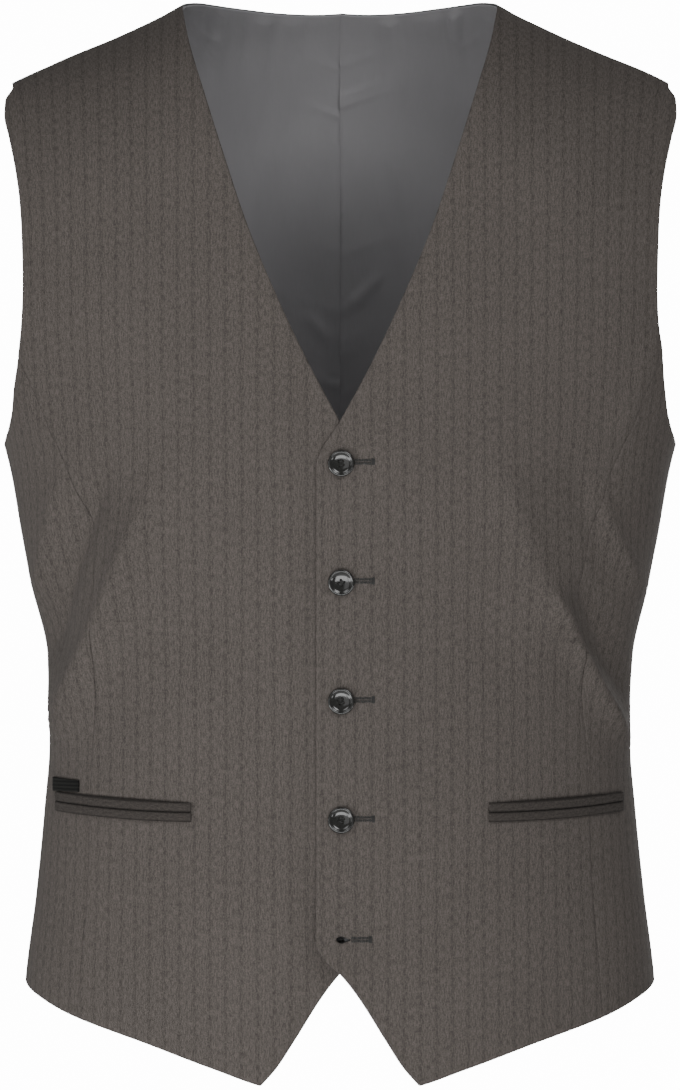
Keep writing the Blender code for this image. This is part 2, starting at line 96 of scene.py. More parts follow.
# The worn form, from the hem up: half width at the side, and depth at the centre of front and back
Station = namedtuple("Station", "height half_width front back")
STATIONS = records(
    Station,
    (-0.620, 0.1885, 0.1180, 0.1190),
    (-0.551, 0.1846, 0.1175, 0.1180),
    (-0.500, 0.1783, 0.1160, 0.1120),
    (-0.450, 0.1733, 0.1145, 0.1040),
    (-0.408, 0.1701, 0.1132, 0.0990),
    (-0.360, 0.1718, 0.1135, 0.1000),
    (-0.324, 0.1794, 0.1160, 0.1050),
    (-0.288, 0.1868, 0.1200, 0.1120),
    (-0.253, 0.1929, 0.1235, 0.1180),
    (-0.236, 0.1970, 0.1245, 0.1210),
    (-0.205, 0.2065, 0.1245, 0.1240),
    (-0.150, 0.2220, 0.1220, 0.1260),
    (-0.090, 0.2240, 0.1150, 0.1220),
    (0.000, 0.2240, 0.1050, 0.1150),
    (0.045, 0.2240, 0.1000, 0.1120),
)
# The line along the top of the shoulder, run on across the neck opening
RidgePoint = namedtuple("RidgePoint", "across height")
SHOULDER_LINE = records(
    RidgePoint,
    (0.0000, 0.0435), (0.0500, 0.0372), (0.0800, 0.0292), (0.0926, 0.0232), (0.1056, 0.0160),
    (0.1360, 0.0019), (0.1805, -0.0169), (0.2000, -0.0262), (0.2240, -0.0388),
)
FRONT_ROLL, BACK_ROLL = 0.100, 0.110  # height over which each side rolls over the shoulder
SEAM_ROLL = math.radians(9)  # the shoulder seam lies this far in front of the shoulder line

# Outlines as seen from the front, from the hem up
EdgePoint = namedtuple("EdgePoint", "height across")
FRONT_EDGE = records(
    EdgePoint,  # hem point, cutaway, button stand, V neck
    (-0.6072, 0.0457), (-0.5945, 0.0363), (-0.5775, 0.0260), (-0.5548, 0.0113), (-0.5413, 0.0000),
    (-0.5350, -0.0075), (-0.5240, -0.0138), (-0.2480, -0.0138), (-0.2425, -0.0120), (-0.2235, 0.0000),
    (-0.1852, 0.0206), (-0.1414, 0.0408), (-0.1085, 0.0540), (-0.0703, 0.0667), (-0.0341, 0.0781),
    (-0.0008, 0.0880), (0.0205, 0.0926),
)
PANEL_SEAM = records(
    EdgePoint,  # between the front and the side panel, up to the armhole
    (-0.5710, 0.1527), (-0.5370, 0.1500), (-0.4970, 0.1470), (-0.4570, 0.1455), (-0.4200, 0.1440),
    (-0.3800, 0.1400), (-0.3400, 0.1385), (-0.2930, 0.1455), (-0.2570, 0.1560), (-0.2290, 0.1670),
    (-0.2050, 0.1765), (-0.1850, 0.1868),
)
FRONT_ARMHOLE = records(
    EdgePoint,
    (-0.1850, 0.1868), (-0.1660, 0.1850), (-0.1480, 0.1844), (-0.1120, 0.1855), (-0.0940, 0.1868),
    (-0.0760, 0.1895), (-0.0580, 0.1935), (-0.0420, 0.1972), (-0.0340, 0.1970), (-0.0270, 0.1930),
)
BACK_ARMHOLE = records(
    EdgePoint,
    (-0.2360, 0.1950), (-0.2300, 0.1915), (-0.2180, 0.1885), (-0.2000, 0.1855), (-0.1850, 0.1835),
    (-0.1480, 0.1810), (-0.1120, 0.1820), (-0.0760, 0.1865), (-0.0580, 0.1905), (-0.0420, 0.1955),
    (-0.0340, 0.1965), (-0.0270, 0.1930),
)
# Hem and armhole foot, by the angle round the body from the centre front
TurnPoint = namedtuple("TurnPoint", "degrees height")
HEM = records(
    TurnPoint,
    (0.0, -0.6160), (13.9, -0.6072), (22.8, -0.5979), (39.4, -0.5817), (59.0, -0.5676),
    (73.0, -0.5585), (90.0, -0.5512), (100.0, -0.5485), (125.0, -0.5460), (180.0, -0.5450),
)
HEM_REACH = 0.085  # the rows of a front follow its hem less and less over this height
ARMHOLE_FOOT = records(
    TurnPoint,
    (61.6, -0.1850), (65.3, -0.2000), (71.0, -0.2180), (78.0, -0.2290), (86.0, -0.2345),
    (100.0, -0.2360),
)
SIDE_SEAM = math.radians(100)
FLANK_RADIUS = 0.11
BACK_NECK_HALF, BACK_NECK_FRONT, BACK_NECK_DEPTH = 0.0926, -0.0145, 0.0805

# Cloth grids: how the rows of each end at the inner and the outer edge
Tie = namedtuple("Tie", "inner outer rows")
FRONT_TIES = records(
    Tie,
    (-0.5413, -0.535, 4), (-0.5240, -0.520, 1), (-0.2480, -0.255, 13),
    (-0.2235, -0.235, 2), (-0.1500, -0.185, 3), (-0.0680, -0.121, 4),
)
BACK_TIES = records(
    Tie,
    (-0.2360, -0.236, 13), (-0.1800, -0.200, 3), (-0.0680, -0.121, 4),
)
FRONT_COLUMNS, SIDE_COLUMNS, NECK_COLUMNS, SHOULDER_COLUMNS, ROLL_ROWS = 10, 6, 6, 5, 7

# The overlap of the two fronts, and the buttons
LAP_FROM, LAP_TO, LAP_SINK = 0.034, 0.016, 0.0026
BUTTON_ACROSS, BUTTON_TOP, BUTTON_PITCH, BUTTONS = 0.0007, -0.2479, 0.0686, 5
BUTTON_SEAT = 0.0004  # a button stands this far off its cloth, on its threads
OPEN_LIFT, OPEN_SINK, OPEN_SPREAD = 0.0019, 0.0015, 0.020

# Pockets
POCKET_INNER, POCKET_OUTER = 0.0855, 0.1650
POCKET_INNER_HEIGHT, POCKET_OUTER_HEIGHT = -0.4496, -0.4450
POCKET_BOW = 0.0012  # the mouth hangs this far below a straight line
MOUTH_GAP, WELT_CROWN, STRIP_GAP = 0.0005, 0.0006, 0.0003
STRIP_END, STRIP_FOOT = 0.02, 0.6  # a strip sinks over this share of its length, to this much at its ends
WELT_CELLS, WELT_ROWS = 96, 12
TAB_INNER, TAB_OUTER = 0.1508, 0.1664
TAB_LOW, TAB_HIGH, TAB_TILT = -0.4392, -0.4318, 0.0014
TAB_CELLS, TAB_ROWS = 24, 12
WELT_WALL = 0.0010

# Buttons: radius as a share of the rim's, and height, from the middle of the back round to the face
BUTTON_PROFILE = (
    (0.0, 0.00020),
    (0.727, 0.0),
    (0.857, 0.00025),
    (0.961, 0.00090),
    (1.0, 0.00150),
    (0.987, 0.00200),
    (0.942, 0.00240),
    (0.877, 0.00255),
    (0.805, 0.00240),
    (0.747, 0.00205),
    (0.690, 0.00175),
    (0.600, 0.00152),
    (0.450, 0.00132),
    (0.300, 0.00121),
    (0.150, 0.00116),
    (0.0, 0.00115),
)
BUTTON_STEPS, BUTTON_DISH = 64, 0.00120
HOLES_AT, THREAD_HOLE = 0.00155, 0.00075
HOLE_STEPS, HOLE_MIDDLE, HOLE_DEPTH = 20, 0.001, 0.006  # the pins that cut a button's holes
THREAD_SPACING, THREAD_ARCH, THREAD_RADIUS, PULL_RADIUS = 0.00024, 0.00022, 0.00022, 0.0004
SHANK_FOOT, SHANK_TOP, SHANK_STEPS = 0.0016, 0.0013, 16
BUTTON_TWISTS = (8, -35, 20, -14, 5)  # degrees

# Buttonholes. The eyelet is at the centre front, and the tail runs from it to the wearer's left
EYELET_ACROSS, EYELET_LENGTH, EYELET_HEIGHT = 0.0012, 0.0034, 0.0021
EYELET_PIN, EYELET_CORNERS = 0.0035, 20
TAIL_RISE = 0.0008  # the tail lies this far above its button's centre
TAIL_START, OPEN_TAIL_START, OPEN_TAIL_SHORT = 0.0045, 0.0064, 0.0016
ROW_APART, BAR_PITCH, BAR_REACH = 0.00022, 0.00042, (0.0018, 0.0022)
# How far a stitch strays at most: its lean, its reach and its lift
STRAY_LIFT = 0.00012
STRAY_LEAST, STRAY_MOST = (-0.0002, -0.00025, 0.0), (0.0002, 0.00025, STRAY_LIFT)
RIM_STITCHES, RIM_REACH = 26, (-0.00005, 0.0011)
DROP_POINT, DROP_NARROW = 0.55, 0.35  # how far the eyelet is drawn out, and how much it narrows there
STITCH_PITCH, STITCH_LENGTH, STITCH_RADIUS = 0.00075, 0.0016, 0.00036

SEARCH = 0.02  # how far off the form a piece looks for the cloth under it
FRAME_STEP = 0.004  # how far apart the cloth is felt to find which way it faces
SIDE_FADE = 0.03  # creases die away over this depth, as they pass from the front to the back
WAVES, WAVES_EAST, WAVES_NORTH = 9, 80, 55  # slight waves of the cloth, and how close they lie
FRONT_WAVES, BACK_WAVES = 0.00035, 0.00030
LINING_GAP, LINING_SHORT, LINING_RISE, LINING_EDGE = 0.0004, 0.0005, 0.0008, 0.008

# Gathers of the lining along its seam, by height, and under its neckline, by place across
Gathers = namedtuple("Gathers", "count least most")  # least and most: place, length and rise
SEAM_GATHERS = Gathers(26, (-0.52, 0.008, 0.0004), (0.0, 0.03, 0.0015))
NECK_GATHERS = Gathers(14, (0.0, 0.008, 0.0004), (0.09, 0.03, 0.0018))
SEAM_SLOPE, SEAM_SLOPE_BACK, STEEP_RISE = 0.35, -0.14, 0.0007
NECK_LEAN, NECK_SPREAD, NECK_TOP = 0.12, 0.0026, 0.02

# The left front's lower edge stands proud, where nothing fastens it
LIP_ACROSS, LIP_HEIGHT, LIP_SPREAD, LIP_RISE = -0.010, -0.5420, 0.0140, 0.0065

# Creases in the fronts and side panels, each along a bend through three places. side: 1 left, -1 right
Crease = namedtuple("Crease", "side start bend end spread rise")
CREASES = records(
    Crease,
    (-1, (0.102, -0.248), (0.133, -0.330), (0.166, -0.408), 0.0095, 0.0108),
    (-1, (0.132, -0.246), (0.154, -0.300), (0.171, -0.368), 0.0085, -0.0078),
    (-1, (0.160, -0.250), (0.169, -0.285), (0.177, -0.330), 0.0060, 0.0034),
    (-1, (0.186, -0.190), (0.178, -0.215), (0.168, -0.240), 0.0080, 0.0018),
    (-1, (0.048, -0.318), (0.082, -0.350), (0.116, -0.392), 0.0150, -0.0018),
    (1, (0.120, -0.318), (0.139, -0.358), (0.170, -0.416), 0.0048, 0.0074),
    (1, (0.135, -0.305), (0.153, -0.350), (0.173, -0.390), 0.0075, -0.0058),
    (1, (0.088, -0.236), (0.110, -0.300), (0.132, -0.352), 0.0140, 0.0054),
    (1, (0.128, -0.232), (0.146, -0.282), (0.160, -0.330), 0.0120, -0.0030),
    (1, (0.148, -0.258), (0.161, -0.292), (0.179, -0.326), 0.0060, 0.0036),
    (1, (0.185, -0.165), (0.174, -0.200), (0.160, -0.235), 0.0085, 0.0024),
    (1, (0.052, -0.300), (0.080, -0.338), (0.108, -0.385), 0.0150, -0.0016),
)
BACK_CREASES = records(
    Crease,
    (1, (0.166, -0.252), (0.128, -0.281), (0.078, -0.296), 0.0110, 0.0024),
    (1, (0.166, -0.331), (0.130, -0.352), (0.082, -0.361), 0.0090, 0.0018),
    (1, (0.165, -0.372), (0.118, -0.386), (0.056, -0.384), 0.0070, 0.0014),
    (1, (0.164, -0.418), (0.124, -0.409), (0.066, -0.404), 0.0100, -0.0018),
    (1, (0.150, -0.455), (0.118, -0.434), (0.088, -0.425), 0.0080, 0.0012),
    (1, (0.176, -0.130), (0.150, -0.165), (0.128, -0.222), 0.0130, -0.0020),
    (-1, (0.165, -0.262), (0.134, -0.284), (0.098, -0.292), 0.0120, 0.0020),
    (-1, (0.166, -0.318), (0.124, -0.346), (0.070, -0.354), 0.0095, 0.0021),
    (-1, (0.164, -0.366), (0.128, -0.374), (0.082, -0.375), 0.0065, 0.0012),
    (-1, (0.164, -0.405), (0.112, -0.398), (0.048, -0.396), 0.0105, -0.0020),
    (-1, (0.152, -0.462), (0.126, -0.446), (0.102, -0.432), 0.0080, 0.0013),
    (-1, (0.174, -0.120), (0.152, -0.158), (0.136, -0.205), 0.0120, -0.0017),
)
LINING_CREASES = records(
    Crease,  # a rise here stands in from the back
    (1, (0.003, -0.151), (0.014, -0.143), (0.026, -0.131), 0.0022, 0.0022),
    (1, (0.022, -0.060), (0.034, -0.096), (0.040, -0.140), 0.0060, 0.0014),
    (1, (0.050, -0.070), (0.054, -0.120), (0.052, -0.180), 0.0080, 0.0016),
    (-1, (0.020, -0.070), (0.030, -0.110), (0.034, -0.165), 0.0070, 0.0013),
    (-1, (0.046, -0.062), (0.056, -0.100), (0.060, -0.150), 0.0070, 0.0016),
    (-1, (0.004, -0.172), (0.012, -0.165), (0.022, -0.155), 0.0025, 0.0014),
)
NECK_FOLDS = records(
    Crease,  # beside the neck, where the lining turns over the shoulder
    (-1, (0.092, 0.020), (0.082, 0.012), (0.070, 0.008), 0.0020, 0.0016),
    (-1, (0.090, 0.012), (0.082, 0.003), (0.076, -0.006), 0.0022, 0.0014),
    (1, (0.090, 0.016), (0.080, 0.008), (0.070, 0.006), 0.0022, 0.0010),
)

# The flat cut of each panel: width, length and area, and what is sewn to it
Cut = namedtuple("Cut", "width length area sewn_on")
CUTS = {
    "front_{}_cloth": Cut(0.235, 0.665, 0.0985, ("upper_welt_{}", "lower_welt_{}")),
    "side_{}_cloth": Cut(0.115, 0.400, 0.0330, ()),
    "back_{}_satin": Cut(0.255, 0.655, 0.1240, ()),
    "back_lining_{}_satin": Cut(0.253, 0.650, 0.1220, ()),
}

# Weave and surface
STRIPE_WANDER, RIB_PITCH, WOOL_BUMP, WELT_BUMP = 0.0012, 0.0016, 0.0001, 0.0002
SATIN_BUMP, TAPE_RIB, TAPE_BUMP = 0.0011, 0.0021, 0.0003

# The stage
FLOOR_DROP, FLOOR_RADIUS, FLOOR_TONE = 0.75, 1.6, (0.82, 0.82, 0.82, 1)
CAMERA_DISTANCE, CAMERA_HEIGHT, VIEW_HEIGHT, SENSOR = 5.0, -0.295, 0.6431, 36.0
SURROUND_LIGHT, SURROUND_WHITE = 0.235, 18.0
LIGHT_AIM = (0.0, 0.0, -0.33)
Light = namedtuple("Light", "name degrees reach height width tall power")  # degrees round from the front
LIGHTS = records(
    Light,
    ("side", -75, 2.9, -0.5, 1.2, 1.2, 8.0),
    ("front", -17, 2.9, -0.5, 1.2, 1.2, 3.5),
    ("low_left", -40, 1.7, -1.2, 1.2, 0.8, 14.0),
    ("low", 0, 1.7, -1.2, 1.2, 0.8, 16.0),
    ("low_side", -70, 1.9, -1.5, 1.2, 0.8, 9.0),
    ("low_right", 70, 1.9, -1.5, 1.2, 0.8, 9.0),
    ("high_left", -30, 2.2, 1.2, 1.2, 1.2, 11.0),
    ("high_right", 30, 2.2, 1.2, 1.2, 1.2, 23.5),
    ("back", 165, 2.6, -0.3, 1.8, 1.4, 30.0),
    ("back_side", -125, 2.9, -0.3, 1.4, 1.4, 8.0),
)


def smooth_through(points):
    """A curve through the points, in rising order, that neither overshoots nor kinks (monotone cubic)."""
    at, value = np.array([tuple(p)[:2] for p in points], float).T
    steps = np.diff(at)
    slopes = np.diff(value) / steps
    turns = slopes[:-1] * slopes[1:] <= 0
    sums = np.where(turns, 1.0, slopes[:-1] + slopes[1:])
    inner = np.where(turns, 0.0, 2 * slopes[:-1] * slopes[1:] / sums)
    tangents = np.concatenate([slopes[:1], inner, slopes[-1:]])

    def curve(x):
        x = np.clip(x, at[0], at[-1])
        i = np.clip(np.searchsorted(at, x) - 1, 0, len(steps) - 1)
        t = (x - at[i]) / steps[i]
        rise = value[i] * (1 + 2 * t) * (1 - t) ** 2 + value[i + 1] * t * t * (3 - 2 * t)
        lean = tangents[i] * t * (1 - t) ** 2 - tangents[i + 1] * t * t * (1 - t)
        return rise + lean * steps[i]

    return curve


half_width = smooth_through([(s.height, s.half_width) for s in STATIONS])
front_depth = smooth_through([(s.height, s.front) for s in STATIONS])
back_depth = smooth_through([(s.height, s.back) for s in STATIONS])
shoulder_line = smooth_through(SHOULDER_LINE)
front_edge = smooth_through(FRONT_EDGE)
panel_seam = smooth_through(PANEL_SEAM)
front_armhole = smooth_through(FRONT_ARMHOLE)
back_armhole = smooth_through(BACK_ARMHOLE)
hem = smooth_through(HEM)
armhole_foot = smooth_through(ARMHOLE_FOOT)


def mix(a, b, share):
    return a + (b - a) * share


def ease(x):
    """0 to 1 with a flat start and end."""
    x = np.clip(x, 0.0, 1.0)
    return x * x * (3 - 2 * x)


def bell(distance, spread):
    return np.exp(-0.5 * (distance / spread) ** 2)


def turned(angle, height):
    """Points of the form at angles round the body: 0 at the centre front, pi at the centre back."""
    across = half_width(height) * np.sin(angle)
    at_front = np.cos(angle) > 0
    drop = (shoulder_line(np.abs(across)) - height) / np.where(at_front, FRONT_ROLL, BACK_ROLL)
    reach = np.sqrt(np.maximum(0.0, 1 - np.maximum(0.0, 1 - drop) ** 2))
    depth = np.where(at_front, front_depth(height), back_depth(height))
    return np.stack(np.broadcast_arrays(across, -depth * np.cos(angle) * reach, height), -1)


def on_front(across, height):
    return turned(np.arcsin(across / half_width(height)), height)


def seam_roll(across, inset):
    """The roll of the shoulder seam, moved forward by inset."""
    flat = front_depth(0.0) * np.sqrt(1 - (across / half_width(0.0)) ** 2)
    return -SEAM_ROLL - inset / flat


def over_shoulder(across, roll):
    """Points by their roll from the shoulder line: below 0 in front of it, above 0 behind it."""
    span = np.where(roll < 0, FRONT_ROLL, BACK_ROLL)
    height = shoulder_line(across) - span * (1 - np.cos(roll))
    angle = np.arcsin(across / half_width(height))
    return turned(np.where(roll < 0, angle, math.pi - angle), height)


def tied_rows(first, ties):
    """The inner and the outer height of each row, from the hem up to the last tie."""
    inner, outer = [first[0]], [first[1]]
    for tie in ties:
        shares = np.linspace(0, 1, tie.rows * FINE + 1)[1:]
        inner.extend(mix(inner[-1], tie.inner, shares))
        outer.extend(mix(outer[-1], tie.outer, shares))
    return np.array(inner), np.array(outer)


def front_rows():
    return tied_rows((FRONT_EDGE[0].height, PANEL_SEAM[0].height), FRONT_TIES)


def front_grid(inset):
    """The left front, from its front edge to the panel seam and the armhole."""
    inner_height, outer_height = front_rows()
    share = np.linspace(0, 1, FRONT_COLUMNS * FINE + 1)
    seamed = outer_height < FRONT_ARMHOLE[0].height
    outer = np.where(seamed, panel_seam(outer_height), front_armhole(outer_height)) - inset
    across = mix(front_edge(inner_height)[:, None], outer[:, None], share)
    height = mix(inner_height[:, None], outer_height[:, None], share)
    near_hem = 1 - ease((inner_height - inner_height[0]) / HEM_REACH)
    straight = mix(inner_height[0], outer_height[0], share)
    degrees = np.degrees(np.arcsin(across / half_width(height)))
    lower = on_front(across, height + near_hem[:, None] * (hem(degrees) - straight))
    rise = np.linspace(0, 1, ROLL_ROWS * FINE + 1)[1:, None]
    roll = mix(math.pi / 2, SEAM_ROLL, rise)
    ends = []
    for edge, guess in ((front_edge, 0.08), (front_armhole, 0.19)):
        for _ in range(6):
            guess = edge(shoulder_line(guess) - FRONT_ROLL * (1 - np.cos(roll)))
        ends.append(guess)
    across = mix(*ends, share)
    upper = over_shoulder(across, mix(-math.pi / 2, seam_roll(across, inset), rise))
    return np.concatenate([lower, upper])


def side_grid(inset):
    """The left side panel, from the panel seam to the side seam, with the front's rows."""
    low, high = PANEL_SEAM[0].height, PANEL_SEAM[-1].height
    seam_height = front_rows()[1]
    seam_height = seam_height[seam_height <= high][:, None]
    rise = (seam_height - low) / (high - low)
    share = np.linspace(0, 1, SIDE_COLUMNS * FINE + 1)
    first = np.arcsin(panel_seam(seam_height) / half_width(seam_height))
    angle = mix(first + inset / FLANK_RADIUS, SIDE_SEAM - inset / FLANK_RADIUS, share)
    hem_turn = mix(np.arcsin(panel_seam(low) / half_width(low)), SIDE_SEAM, share)
    foot_turn = mix(math.radians(ARMHOLE_FOOT[0].degrees), SIDE_SEAM, share)
    height = mix(hem(np.degrees(hem_turn)), armhole_foot(np.degrees(foot_turn)), rise)
    return turned(angle, height)


def back_top(inset):
    """(across, roll) of each column's top: the neckline, then the shoulder seam."""
    turn = np.linspace(0, math.pi / 2, NECK_COLUMNS * FINE + 1)
    across = BACK_NECK_HALF * np.sin(turn)
    reach = BACK_NECK_FRONT + BACK_NECK_DEPTH * np.cos(turn)
    height = shoulder_line(across)
    depth = np.where(reach > 0, back_depth(height), front_depth(height))
    roll = np.arcsin(reach / depth / np.sqrt(1 - (across / half_width(height)) ** 2))
    shoulder = np.linspace(BACK_NECK_HALF, BACK_ARMHOLE[-1].across, SHOULDER_COLUMNS * FINE + 1)
    across = np.concatenate([across[:-1], shoulder])
    return across, np.concatenate([roll[:-1], seam_roll(shoulder, -inset)])


def back_grid(inset):
    """The left back, from the centre seam to the side seam and the armhole."""
    top_across, top_roll = back_top(inset)
    inner_height, outer_height = tied_rows((HEM[-1].height, hem(math.degrees(SIDE_SEAM))), BACK_TIES)
    number = np.arange(len(inner_height))
    low_rows = BACK_TIES[0].rows * FINE
    seam_turn = math.pi - SIDE_SEAM - inset / FLANK_RADIUS
    armhole_turn = np.arcsin(back_armhole(outer_height) / half_width(outer_height))
    last = np.where(number <= low_rows, seam_turn, armhole_turn)[:, None]
    crowd = ease((number - low_rows) / (len(number) + ROLL_ROWS * FINE - low_rows))[:, None]
    share = mix(np.linspace(0, 1, len(top_across)), top_across / top_across[-1], crowd)
    turn = mix(inset / half_width(0.0), last, share)
    lower = turned(math.pi - turn, mix(inner_height[:, None], outer_height[:, None], share))
    across, height = lower[-1, :, 0], lower[-1, :, 2]
    start = np.arccos(1 - np.minimum((shoulder_line(across) - height) / BACK_ROLL, 1.0))
    rise = np.linspace(0, 1, ROLL_ROWS * FINE + 1)[1:, None]
    place = np.maximum(mix(across, top_across, ease(rise)), inset)
    return np.concatenate([lower, over_shoulder(place, mix(start, top_roll, rise))])


def drawn_in(points, short, rise):
    """The same grid with its hem and outer edge drawn in and its top moved on, along the grid itself."""
    points = points.copy()
    hem_edge, top_edge = (np.s_[0], np.s_[1], short), (np.s_[-1], np.s_[-2], -rise)
    for edge, inside, move in (hem_edge, top_edge, (np.s_[:, -1], np.s_[:, -2], short)):
        inward = points[inside] - points[edge]
        reach = np.linalg.norm(inward, axis=1, keepdims=True)
        points[edge] += inward / reach * np.minimum(move, 0.9 * reach)
    return points


def outward(points):
    """Unit normals of a grid of points, away from the body."""
    normal = np.cross(*(np.gradient(points, axis=axis, edge_order=2) for axis in (1, 0)))
    normal /= np.linalg.norm(normal, axis=2, keepdims=True)
    middle = points.shape[0] // 3, points.shape[1] // 2
    return normal if normal[middle] @ (points[middle] * (1, 1, 0)) > 0 else -normal


def moved_out(points, stand_out):
    return points + outward(points) * stand_out[..., None]


def grain(points, from_back=False):
    """Cloth coordinates in metres: round the body from the centre line, and up along the panel."""
    x, y, z = np.moveaxis(points * (1, -1 if from_back else 1, 1), -1, 0)
    sine = np.clip(x / half_width(z), -1, 1)
    cosine = np.sqrt(1 - sine * sine)
    turn = np.arctan2(sine, np.where(y < 0, cosine, -cosine))
    deep = np.where(cosine > 0.2, np.abs(y) / np.maximum(cosine, 0.2), front_depth(z))
    angle = turn[..., None] * np.linspace(0, 1, 17)
    speed = np.hypot(half_width(z)[..., None] * np.cos(angle), deep[..., None] * np.sin(angle))
    climb = np.linalg.norm(np.diff(points, axis=0), axis=2)
    height = np.concatenate([z[:1], z[:1] + np.cumsum(climb, axis=0)])
    return (speed[..., :-1] + speed[..., 1:]).mean(-1) / 2 * turn, height


def bend_distance(crease, across, height):
    """How far places lie from a crease, and how far along it, 0 to 1."""
    steps = np.linspace(0, 1, 33)[:, None]
    start, bend, end = (np.array(p) for p in (crease.start, crease.bend, crease.end))
    handle = 2 * bend - (start + end) / 2
    line = (1 - steps) ** 2 * start + 2 * steps * (1 - steps) * handle + steps ** 2 * end
    apart = np.hypot(across[..., None] - line[:, 0], height[..., None] - line[:, 1])
    return apart.min(-1), steps[apart.argmin(-1), 0]


def crease_rise(creases, side, across, height):
    """How far the creases of one side lift its cloth. Each has a sharper crest than its foot."""
    total = np.zeros_like(across)
    for crease in creases:
        if crease.side != side:
            continue
        apart, along = bend_distance(crease, across, height)
        ends = ease(along / 0.35 + 0.15) * ease((1 - along) / 0.25 + 0.2)
        crest = 0.65 * bell(apart, crease.spread) + 0.35 * bell(apart, crease.spread * 0.45)
        total += crease.rise * ends * crest
    return total


def unevenness(across, height, seed, size=FRONT_WAVES):
    """Slight waves of cloth that hangs free."""
    waves = np.random.default_rng(seed).uniform(-1, 1, (WAVES, 4))
    total = np.zeros_like(across)
    for east, north, phase, weight in waves:
        place = WAVES_EAST * east * across + WAVES_NORTH * north * height
        total += weight * np.sin(place + math.tau * phase)
    return size * total


def opened(across, height):
    """How much of the lift round the undone bottom button reaches a place."""
    away = np.hypot(height - (BUTTON_TOP - BUTTON_PITCH * (BUTTONS - 1)), across)
    return bell(away, OPEN_SPREAD)


def front_lift(side, across, height):
    """How far a front stands out from the form."""
    out = crease_rise(CREASES, side, across, height) + unevenness(across, height, 5 + side)
    if side > 0:
        lip = bell(np.hypot(height - LIP_HEIGHT, across - LIP_ACROSS), LIP_SPREAD) * LIP_RISE
        return out + OPEN_LIFT * opened(across, height) + lip
    under = ease((LAP_FROM - across) / (LAP_FROM - LAP_TO))
    return out * (1 - under) - under * LAP_SINK - OPEN_SINK * opened(across, height)


class Socket:
    """A shader value that Python's operators work on. Each operator adds its Math node."""

    def __init__(self, tree, link):
        self.tree, self.link = tree, link

    def _math(self, operation, *values):
        return self.tree.node("ShaderNodeMath", {"operation": operation}, dict(enumerate(values)))

    def __add__(self, other):
        return self._math("ADD", self, other)

    def __sub__(self, other):
        return self._math("SUBTRACT", self, other)

    def __rsub__(self, other):
        return self._math("SUBTRACT", other, self)

    def __mul__(self, other):
        return self._math("MULTIPLY", self, other)

    __radd__, __rmul__ = __add__, __mul__

    def call(self, operation, *others):
        """Any other Math operation."""
        return self._math(operation, self, *others)

    def ramp(self, low, high):
        """0 below low, 1 above high, smooth between them."""
        settings = {"interpolation_type": "SMOOTHSTEP"}
        values = {"Value": self, "From Min": low, "From Max": high}
        return self.tree.node("ShaderNodeMapRange", settings, values)


class Finish:
    """A node material with one Principled shader."""

    def __init__(self, name, **constants):
        self.material = bpy.data.materials.new(name)
        self.material.use_nodes = True
        self.nodes = self.material.node_tree.nodes
        self.shader = self.nodes["Principled BSDF"]
        for socket, value in constants.items():
            self.shader.inputs[socket.replace("_", " ")].default_value = value

    def node(self, kind, settings=None, values=None, output=0):
        made = self.nodes.new(kind)
        for key, value in (settings or {}).items():
            setattr(made, key, value)
        for key, value in (values or {}).items():
            if isinstance(value, Socket):
                self.material.node_tree.links.new(value.link, made.inputs[key])
            else:
                made.inputs[key].default_value = value
        return Socket(self, made.outputs[output])

    def feed(self, socket, value):
        self.material.node_tree.links.new(value.link, self.shader.inputs[socket])

    def cloth_place(self):
        """The piece's own cloth coordinates, in metres."""
        return self.node("ShaderNodeUVMap", {"uv_map": "cloth"})

    def axes(self, place):
        split = self.node("ShaderNodeSeparateXYZ", values={"Vector": place})
        outputs = split.link.node.outputs
        return [Socket(self, outputs[axis]) for axis in "XYZ"]

    def stretched(self, place, scale):
        return self.node("ShaderNodeMapping", values={"Vector": place, "Scale": scale})

    def noise(self, place, scale, detail=2.0, roughness=0.5):
        values = {"Vector": place, "Scale": scale, "Detail": detail, "Roughness": roughness}
        return self.node("ShaderNodeTexNoise", values=values)

    def blend(self, share, first, second):
        """A colour between two others. A colour is a Socket or (red, green, blue)."""
        paint = [c if isinstance(c, Socket) else (*c, 1.0) for c in (first, second)]
        values = {0: share, 6: paint[0], 7: paint[1]}
        return self.node("ShaderNodeMix", {"data_type": "RGBA"}, values, output=2)

    def bump(self, height, distance, strength=1.0):
        values = {"Height": height, "Distance": distance, "Strength": strength}
        self.feed("Normal", self.node("ShaderNodeBump", values=values))


def shade(colour, share):
    return tuple(channel * share for channel in colour)


